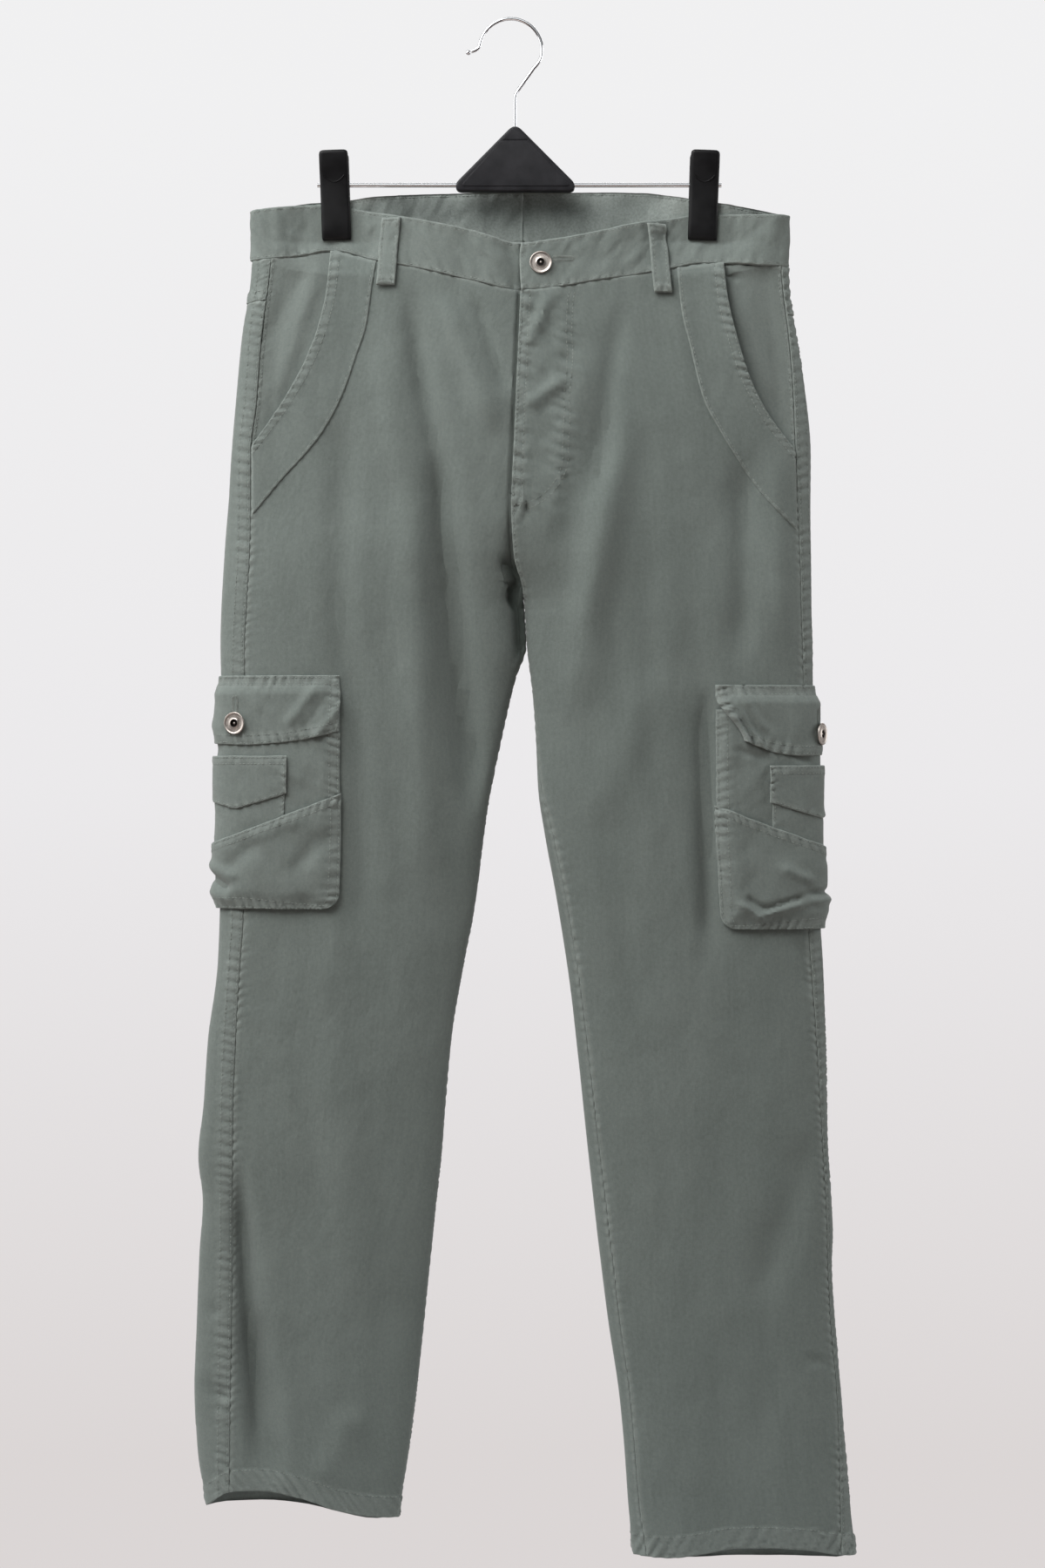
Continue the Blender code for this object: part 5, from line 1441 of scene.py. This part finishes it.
def belt_loop(name, side, face, x_top, x_bottom, z_top, z_bottom):
    leg = LEGS[side]
    fixed, share = spread(z_top - z_bottom, pitch=1.5)
    down = (fixed / (z_top - z_bottom) + share)[:, None]
    across = np.linspace(-0.5, 0.5, 19) * LOOP_WIDTH * -side * face
    x = x_top + (x_bottom - x_top) * down + across
    z = np.broadcast_to(z_top + (z_bottom - z_top) * down, x.shape)
    arched = np.sin(np.pi * np.clip(down, 0, 1)) ** 0.5
    base = WAISTBAND_PROUD + LAY_GAP + LOOP_SEAT + LOOP_ARCH * arched + LOOP_CLOTH
    cloth = Cloth(side, leg.angle_at(x, z, front=face > 0), z, base, LOOP_CLOTH)
    seed = 131 + int(abs(x_top)) % 17
    for edge, shift in (("first", 0), ("last", 3)):
        cloth.hem(edge, (2.4,), 3.2, 0.1, 0.16, 6.0, seed + shift, drop=0.6)
    for edge in ("top", "bottom"):
        cloth.hem(edge, (), 6.5, 0.7, 0.1, 6.0, seed + 7, drop=0.9)
    cloth.lift += 0.35 * noise(cloth.d / 5, cloth.z / 9, seed + 9)
    if face < 0:
        cloth.lift += back_lean(cloth)
    cloth.wear_and_painted_light += SMALL_PIECE_WEAR

    def bars(stitches, cloth):
        for row in (2.2, cloth.off["top"].max() - 3.0):
            z_bar = z_top - row
            at = float(np.interp(-z_bar, -cloth.z[:, 9], cloth.d[:, 9]))
            for step in (-0.35, 0.35):
                stitches.path(cloth, [(at + place, z_bar + step)
                                      for place in np.linspace(-5.6, 5.6, 12)],
                              pitch=BAR_PITCH, length=BAR_STITCH)

    finished(cloth, name, bars)


class CargoPocket:
    """A cargo pocket over the side seam of a leg; d is a distance round the leg."""

    def __init__(self, row):
        for name, value in zip(POCKET_COLUMNS, row):
            setattr(self, name, value)
        self.seed = 171 if self.side > 0 else 141

    def side_inset(self, d):
        return POCKET_HALF_WIDTH - np.abs(d - self.middle)

    def inset(self, d, z):
        return np.minimum(self.side_inset(d), z - self.bottom)

    def corner_inset(self, z):
        below = np.clip(self.bottom + POCKET_CORNER - z, 0, POCKET_CORNER)
        return POCKET_CORNER - np.sqrt(POCKET_CORNER ** 2 - below ** 2)

    def standing(self, d, z, layers=0):
        """Height above the leg of the bag's outer face, or of layers sewn over it."""
        rise = smoothstep(self.inset(d, z) / POCKET_RISE)
        return (POCKET_EDGE_LIFT + (POCKET_LIFT - POCKET_EDGE_LIFT) * rise
                + layers * (LAY_GAP + LIGHT_CLOTH))

    def patch(self, half_width, top, bottom, lift, down=1.5, across=2.0, thickness=LIGHT_CLOTH,
              rolled=lambda z: 0):
        """A piece between edges given as heights by distance."""
        middle = np.array([self.middle])
        cloth = panel(self.side,
                      lambda z: self.middle - (half_width - self.corner_inset(z)),
                      lambda z: self.middle + half_width - self.corner_inset(z) - rolled(z),
                      top, bottom, float(top(middle)[0]), float(bottom(middle)[0]),
                      thickness=thickness, down=down, across=across)
        cloth.lift += lift(cloth.d, cloth.z)
        return cloth

    def finish(self, cloth, node, piece=None, extra=None):
        """Crease and crumple a piece, and make it."""
        rows = POCKET_CREASES[self.side].get(piece, ())
        cloth.lift = creased(cloth.lift, rows, cloth.d, cloth.z)
        cloth.lift += 0.8 * noise(cloth.d / 17 + cloth.z / 60, cloth.z / 19, self.seed + 17)
        cloth.lift += 0.35 * noise(cloth.d / 7 + cloth.z / 25, cloth.z / 8, self.seed + 18)
        cloth.wear_and_painted_light += SMALL_PIECE_WEAR
        finished(cloth, f"{node}_{SIDE_NAMES[self.side]}", extra)

    def make(self):
        self.body()
        self.cover()
        self.small_pocket()
        self.flap()

    def body(self):
        cloth = self.patch(POCKET_HALF_WIDTH - 0.8, level(self.mouth), level(self.bottom + 1.2),
                           self.standing, thickness=POCKET_CLOTH)
        for edge, shift in (("first", 0), ("last", 2)):
            cloth.hem(edge, (1.8, 8.0), 8.8, 0.15, 0.3, 7.0, self.seed + shift, drop=0.6)
        self.finish(cloth, "cargo_pocket", "body")

    def cut_edge(self, d):
        """The slanting top edge of the cover."""
        from_front = self.middle + POCKET_HALF_WIDTH - d
        return self.cut_front - self.cut_fall * from_front / (2 * POCKET_HALF_WIDTH)

    def cover(self):
        """The lower half of the bag's outside, with a slanting pocket mouth of its own."""
        def lift(d, z):
            return self.standing(d, z, 1 + smoothstep(self.inset(d, z) / 20))

        cloth = self.patch(POCKET_HALF_WIDTH, self.cut_edge, level(self.bottom), lift, down=1.2,
                           across=1.5)
        cloth.hem("top", (1.8, 6.6), 7.4, 0.15, 0.3, 7.0, self.seed + 6, drop=0.6)
        cloth.hem("bottom", (1.8, 8.4), 9.2, 0.15, 0.34, 7.6, self.seed + 8,
                  mask=span(self.side_inset(cloth.d), 400, 5))
        above_corner = span(cloth.z, 0, self.bottom + 0.4 * POCKET_CORNER)
        for edge, shift in (("last", 9), ("first", 10)):
            cloth.hem(edge, (1.8, 8.0), 8.8, 0.1, 0.34, 7.6, self.seed + shift,
                      mask=above_corner)
        self.finish(cloth, "cargo_pocket_cover", "cover")

    def small_pocket(self):
        """The small pocket above the cover, and its flap."""
        cloth = self.patch(SMALL_HALF_WIDTH, level(self.small_top - 4.0),
                           lambda d: self.cut_edge(d) - 9.0,
                           lambda d, z: self.standing(d, z, 1))
        for edge, shift in (("first", 11), ("last", 12)):
            cloth.hem(edge, (1.6,), 2.4, 0.0, 0.2, 7.0, self.seed + shift, drop=0.6)
        self.finish(cloth, "small_pocket")

        def pointed_edge(d):
            share = 1 - np.abs(d - self.middle) / SMALL_FLAP_HALF_WIDTH
            return self.small_top - 29.0 - 12.5 * share

        cloth = self.patch(SMALL_FLAP_HALF_WIDTH, level(self.small_top), pointed_edge,
                           lambda d, z: self.standing(d, z, 2), down=1.4, across=1.8)
        for edge, rows, shift in (("first", (1.8,), 13), ("last", (1.8,), 14),
                                  ("bottom", (1.8,), 15), ("top", (1.8, 6.4), 16)):
            cloth.hem(edge, rows, rows[-1] + 1.2, 0.12, 0.24, 7.0, self.seed + shift, drop=0.6)
        self.finish(cloth, "small_pocket_flap")

    def flap_edge(self, d):
        hang = d - self.middle - FLAP_POINTS[self.side]
        hang = hang / np.where(hang > 0, FLAP_FRONTS[self.side], FLAP_REAR)
        share = 1 - np.clip(hang, -1.05, 1.05) ** 2
        return self.flap_top - self.flap_drop - (self.flap_point - self.flap_drop) * share

    def flap_lift(self, d, z):
        """The flap is sewn on close to the leg and stands out over the bag's mouth."""
        over_mouth = smoothstep((self.flap_top - 4 - z) / 11)
        standing = self.standing(d, self.mouth - 40, 1)
        return FLAP_SEWN_LIFT + (standing - FLAP_SEWN_LIFT) * over_mouth

    def flap(self):
        """The flap, its front edge rolled in by some millimetres, and its button."""
        def rolled(z):
            return self.rolled * smoothstep((self.flap_top - 6 - z) / 40)

        cloth = self.patch(POCKET_HALF_WIDTH, level(self.flap_top), self.flap_edge,
                           self.flap_lift, down=1.4, across=1.8, rolled=rolled)
        front = cloth.off["last"]
        roll = 4.4 * bump(front, 3.4, 2.8) - 0.8 * bump(front, 9, 2) + 3.8 * bump(front, 14, 2.8)
        cloth.lift += roll * np.minimum(rolled(cloth.z) / 12.0, 1)
        front_rows = (1.8, 7.4) if self.rolled < 10 else ()
        for edge, rows, shift in (("first", (1.8, 7.4), 18), ("last", front_rows, 19),
                                  ("bottom", (1.8, 7.4), 20), ("top", (1.8, 7.0), 21)):
            cloth.hem(edge, rows, 8.4, 0.12, 0.34, 7.6, self.seed + shift, drop=0.6)
        turn, z = self.button_turn, self.flap_top - self.flap_point + CARGO_BUTTON_RISE

        def hole(stitches, cloth):
            buttonhole(stitches, cloth, turn, z + 13.5, 13.0, upright=True)

        self.finish(cloth, "cargo_flap", "flap", hole)
        button(f"cargo_button_{SIDE_NAMES[self.side]}", self.side,
               float(LEGS[self.side].angle_round(turn, z)), z, float(self.flap_lift(turn, z)))


def fly_strip(node, material, thickness, sunk, edges, ends):
    """A strip behind the closed fly, beside the middle seam."""
    leg = LEGS[-1]
    z = np.linspace(*ends, 70)[:, None]
    x = leg.section["inner"](z) + np.linspace(*edges, 18)
    z = np.broadcast_to(z, x.shape)
    cloth = Cloth(-1, leg.angle_at(x, z), z, -sunk, thickness)
    cloth.hem("last", (1.8,), 2.6, 0.0, 0.1, 8.0, 201, drop=0.3)
    finished(cloth, node, material=material)


def lathe(profile, steps, centre, axis):
    """Points and faces of a profile of radius and height turned about an axis."""
    turn = Vector(axis).to_track_quat("Z", "Y").to_matrix()
    points = []
    for k in range(steps):
        angle = 2 * math.pi * k / steps
        for radius, height in profile:
            spot = Vector((radius * math.cos(angle), radius * math.sin(angle), height))
            points.append(tuple(Vector(centre) + turn @ spot))
    at = np.arange(len(points)).reshape(steps, len(profile))
    return points, quads(np.pad(at, ((0, 1), (0, 0)), mode="wrap")).tolist()


def button(node, side, angle, z, standing):
    """A jeans button: a dished ring with a row of dots, a hollow and a ball rivet."""
    leg = LEGS[side]
    lift = standing + BUTTON_SEAT + LAY_GAP
    centre = leg.lifted(np.array([angle]), np.array([z]), np.array([lift]))[0]
    axis = leg.outward(np.array([angle]), np.array([z]))[0]
    points, faces = lathe(BUTTON_PROFILE, 72, centre, axis)
    # The hollow is painted dark as shade; the dots get a darker tone of their own
    painted_shade_and_dark_dots = [1.0 if 0.9 < radius < 3.0 else 0.0 for radius, _ in BUTTON_PROFILE] * 72
    turn = Vector(axis).to_track_quat("Z", "Y").to_matrix()
    for k in range(DOTS):
        around = 2 * math.pi * k / DOTS
        spot = Vector(centre) + turn @ Vector((DOT_RING * math.cos(around),
                                               DOT_RING * math.sin(around), -0.06))
        dot, dot_faces = lathe(DOT_PROFILE, 8, spot, axis)
        faces += [tuple(len(points) + j for j in face) for face in dot_faces]
        points += dot
        painted_shade_and_dark_dots += [0.35] * len(dot)
    mesh = smoothed(new_mesh(f"{node}_metal", points, faces), TURNED_SHARP)
    set_values(mesh, "painted_shade_and_dark_dots", painted_shade_and_dark_dots)
    add_piece(mesh.name, cleaned(mesh), "nickel", [node])


def wire(name, points, radius, material, nodes=(), place=None):
    curve = bpy.data.curves.new(name, "CURVE")
    curve.dimensions = "3D"
    curve.bevel_depth = radius * MM
    curve.bevel_resolution = 5
    curve.use_fill_caps = True
    spline = curve.splines.new("POLY")
    spline.points.add(len(points) - 1)
    for spot, (x, y, z) in zip(spline.points, points):
        spot.co = (x * MM, y * MM, z * MM, 1)
    spline.use_smooth = True
    if place:
        curve.transform(place)
    add_piece(name, curve, material, nodes)


def bend(start, corner, end, steps):
    """Points of a smooth bend from start to end round a corner."""
    return [tuple((1 - t) ** 2 * a + 2 * t * (1 - t) * b + t * t * c
                  for a, b, c in zip(start, corner, end))
            for t in (k / steps for k in range(steps + 1))]


def hook_route():
    """The hook's wire from its tip over the rail and down into the centre piece."""
    middle_z = HOOK_WIRE - HOOK_RADIUS
    arc = [(HOOK_RADIUS * math.cos(math.radians(turn)), 0,
            middle_z + HOOK_RADIUS * math.sin(math.radians(turn))) for turn in range(170, -16, -4)]
    tip = bend(*HOOK_TIP, arc[0], 10)
    shoulder = bend(arc[-1], *HOOK_SHOULDER, 8)
    foot = bend(*HOOK_FOOT, 8) + [(STEM_X, 0, APEX_HEIGHT - STEM_SOCKET)]
    return tip[:-1] + arc + shoulder[1:] + foot


def rounded(outline, radii, steps=7):
    """An outline with each corner turned into an arc-like bend."""
    points = []
    for k, corner in enumerate(outline):
        before, after = outline[k - 1], outline[(k + 1) % len(outline)]
        ends = []
        for other in (before, after):
            away = math.dist(corner, other)
            reach = min(radii[k], 0.48 * away)
            ends.append(tuple(c + (o - c) * reach / away for c, o in zip(corner, other)))
        points += bend(ends[0], corner, ends[1], steps)
    return points


def plate(name, outline, radii, depth, edge, face=0, nodes=()):
    """A part of the centre piece: an outline with thickness and rounded edges, on a face."""
    outline = rounded(outline, radii)
    count = len(outline)
    points = [(a, y, b) for y in (-depth, depth) for a, b in outline]
    faces = [tuple(range(count)), tuple(range(2 * count - 1, count - 1, -1))]
    faces += [(k, count + k, count + (k + 1) % count, (k + 1) % count) for k in range(count)]
    mesh = cleaned(new_mesh(f"hanger_centre_{name}", points, faces), edge)
    mesh.transform(Matrix.Translation((0, face * PLATE_FACE * MM, 0)))
    add_piece(mesh.name, smoothed(mesh, PLATE_SHARP), "grained", nodes)


def centre_piece():
    """A moulding that joins the hook to the bar, with a cap and a panel raised on its faces."""
    plate("moulding", CENTRE_OUTLINE, CENTRE_CORNERS, CENTRE_PIECE_DEPTH, CENTRE_EDGE,
          nodes=["hanger_centre"])
    for face, where in ((-1, "front"), (1, "back")):
        plate(f"cap_{where}", CAP_OUTLINE, CAP_CORNERS, PLATE_DEPTH, PLATE_EDGE, face)
        plate(f"panel_{where}", PANEL_OUTLINE, PANEL_CORNERS, PLATE_DEPTH, PLATE_EDGE, face)


def clip(side):
    """Two levers on the bar with a coil spring between them."""
    name = SIDE_NAMES[side]
    turn = (Matrix.Translation(Vector((CLIP_CENTRES[side], 0, BAR_HEIGHT)) * MM)
            @ Matrix.Rotation(side * CLIP_TILT, 4, "Y"))
    for face, where in ((1, "front"), (-1, "back")):
        rows = np.array([[(x * half, -face * y, z - BAR_HEIGHT)
                          for x, y in jaw_ring(outer, inner)]
                         for z, outer, inner, half in JAW_SECTIONS])
        at = np.arange(rows.shape[0] * rows.shape[1]).reshape(rows.shape[:2])
        faces = quads(np.pad(at, ((0, 0), (0, 1)), mode="wrap"))[:, [0, 3, 2, 1]].tolist()
        faces += at[[0, -1]].tolist()
        mesh = cleaned(new_mesh(f"clip_{name}_{where}_lever", rows.reshape(-1, 3), faces))
        mesh.transform(turn)
        add_piece(mesh.name, smoothed(mesh, JAW_SHARP), "smooth",
                  [f"clip_{name}_{where}"])
        line = []
        for x in np.linspace(-THUMB_HALF_WIDTH, THUMB_HALF_WIDTH, 19):
            z = THUMB_TOP - THUMB_DEPTH * (1 - (x / THUMB_HALF_WIDTH) ** 2)
            line.append((x, -face * (jaw_outer(z) + 0.05), z - BAR_HEIGHT))
        wire(f"clip_{name}_{where}_thumb_line", line, THUMB_LINE, "smooth", place=turn)
    coil = [(COIL_LENGTH * (share - 0.5), COIL_RADIUS * math.cos(angle),
             COIL_RADIUS * math.sin(angle)) for share in np.linspace(0, 1, COIL_TURNS * 16 + 1)
            for angle in [2 * math.pi * COIL_TURNS * share]]
    wire(f"clip_spring_{name}_coil", coil, COIL_WIRE, "steel", [f"clip_spring_{name}"],
         turn)


def jaw_outer(z):
    heights, outer = [row[0] for row in JAW_SECTIONS], [row[1] for row in JAW_SECTIONS]
    return float(np.interp(-z, [-h for h in heights], outer))


def jaw_ring(outer, inner):
    """Section of a lever: a crowned outer face with rounded corners, flat inside."""
    across = np.array([-1, -0.97, -0.9, -0.75, -0.5, -0.2, 0.2, 0.5, 0.75, 0.9, 0.97, 1])
    crown = 0.5 * (1 - across ** 2) - 1.3 * np.clip((np.abs(across) - 0.88) / 0.12, 0, 1) ** 2
    ring = [(x, max(outer + rise - 0.5, inner + 0.4)) for x, rise in zip(across, crown)]
    return ring + [(0.97, inner), (0, inner), (-0.97, inner)]


def hanger():
    wire("hanger_hook_wire", hook_route(), HOOK_WIRE, "chrome", ["hanger_hook"])
    profile = [(BALL_RADIUS * math.sin(t) + 1e-4, BALL_RADIUS * math.cos(t))
               for t in np.linspace(0, math.pi, 17)]
    ball = new_mesh("hanger_hook_ball", *lathe(profile, 32, BALL_PLACE, (0, 0, 1)))
    add_piece(ball.name, cleaned(smoothed(ball, TURNED_SHARP)), "chrome",
              ["hanger_hook_tip"])
    wire("hanger_bar_wire", [(x, 0, BAR_HEIGHT) for x in np.linspace(*BAR_ENDS, 12)], BAR_WIRE,
         "chrome", ["hanger_bar"])
    centre_piece()
    for side in LEGS:
        clip(side)


def trousers():
    for side in LEGS:
        waistband(side)
    for side in LEGS:
        front_panel(side)
        back_panel(side)
        back_yoke(side)
        hip_facing(side)
        hip_band(side)
    for row in FLY_STRIPS:
        fly_strip(*row)
    for row in LOOPS:
        belt_loop(*row)
    for row in POCKETS:
        CargoPocket(row).make()
    x, z = WAIST_BUTTON_PLACE
    button("waist_button", 1, float(LEGS[1].angle_at(x, z)), z, WAISTBAND_PROUD)


def studio():
    """A pale wall all round, a small floor below, and large soft lights."""
    world = bpy.data.worlds.new("studio")
    bpy.context.scene.world = world
    world.use_nodes = True
    nodes = Nodes(world.node_tree)
    nodes.tree.nodes.clear()
    parts = nodes.node("SeparateXYZ", nodes.node("TexCoord")[0])
    # Painted shading on the wall: darker towards the bottom
    wall = nodes.ramp(nodes.stretch(parts[2], -WALL_SPAN, WALL_SPAN), WALL_STOPS)
    room = nodes.ramp(nodes.stretch(parts[2], -1.0, 1.0), ROOM_STOPS)
    strength = nodes.stretch(parts[1], -1.0, 0.0, ROOM_FROM_FRONT, ROOM_FROM_SIDES)
    shown = nodes.node("MixShader", nodes.node("LightPath")[0],
                       nodes.node("Background", room, strength)[0],
                       nodes.node("Background", wall)[0])
    nodes.node("OutputWorld", shown[0])

    for name, spot, size, power, colour in LIGHTS:
        light = bpy.data.lights.new(name, "AREA")
        light.shape, light.energy, light.color = "RECTANGLE", power, colour
        light.size, light.size_y = size
        lamp = new_object(name, light)
        lamp.location = spot
        aim = Vector(LIT_PLACE) - Vector(spot)
        lamp.rotation_euler = aim.to_track_quat("-Z", "Y").to_euler()

    rim = [(FLOOR_RADIUS * math.cos(t), FLOOR_RADIUS * math.sin(t), FLOOR_HEIGHT)
           for t in np.linspace(0, 2 * math.pi, 96, endpoint=False)]
    floor = new_mesh("floor", rim, [tuple(range(len(rim)))])
    floor.materials.append(Shading("pale_floor", Roughness=0.85, Base_Color=FLOOR_COLOUR).material)
    new_object("floor", floor)


def camera():
    data = bpy.data.cameras.new("camera")
    data.sensor_width = 36
    data.lens = CAMERA_LENS
    data.clip_end = 50
    eye = new_object("camera", data)
    eye.location = CAMERA_PLACE
    eye.rotation_euler = (math.pi / 2, 0, 0)
    bpy.context.scene.camera = eye
    bpy.context.scene.view_settings.view_transform = "Standard"


MATERIALS = {
    "twill": twill_material("twill", TWILL_DARK, TWILL_LIGHT, TWILL_WORN_AND_LIT, TWILL_SHADE, 0.00016),
    "tape": twill_material("zip_tape", TAPE_DARK, TAPE_LIGHT, TAPE_LIGHT, TWILL_SHADE, 0.0001),
    "thread": thread_material(),
    "nickel": metal_material("antique_nickel", NICKEL, 0.36, NICKEL_STAIN),
    "chrome": metal_material("chrome", CHROME, 0.14),
    "steel": metal_material("spring_steel", STEEL, 0.3),
    "smooth": plastic_material("smooth_plastic", CLIP_DARK, CLIP_LIGHT, 0.0008, 0.00002),
    "grained": plastic_material("grained_plastic", CENTRE_DARK, CENTRE_LIGHT, 0.0005, 0.00008),
}
camera()
studio()
hanger()
trousers()
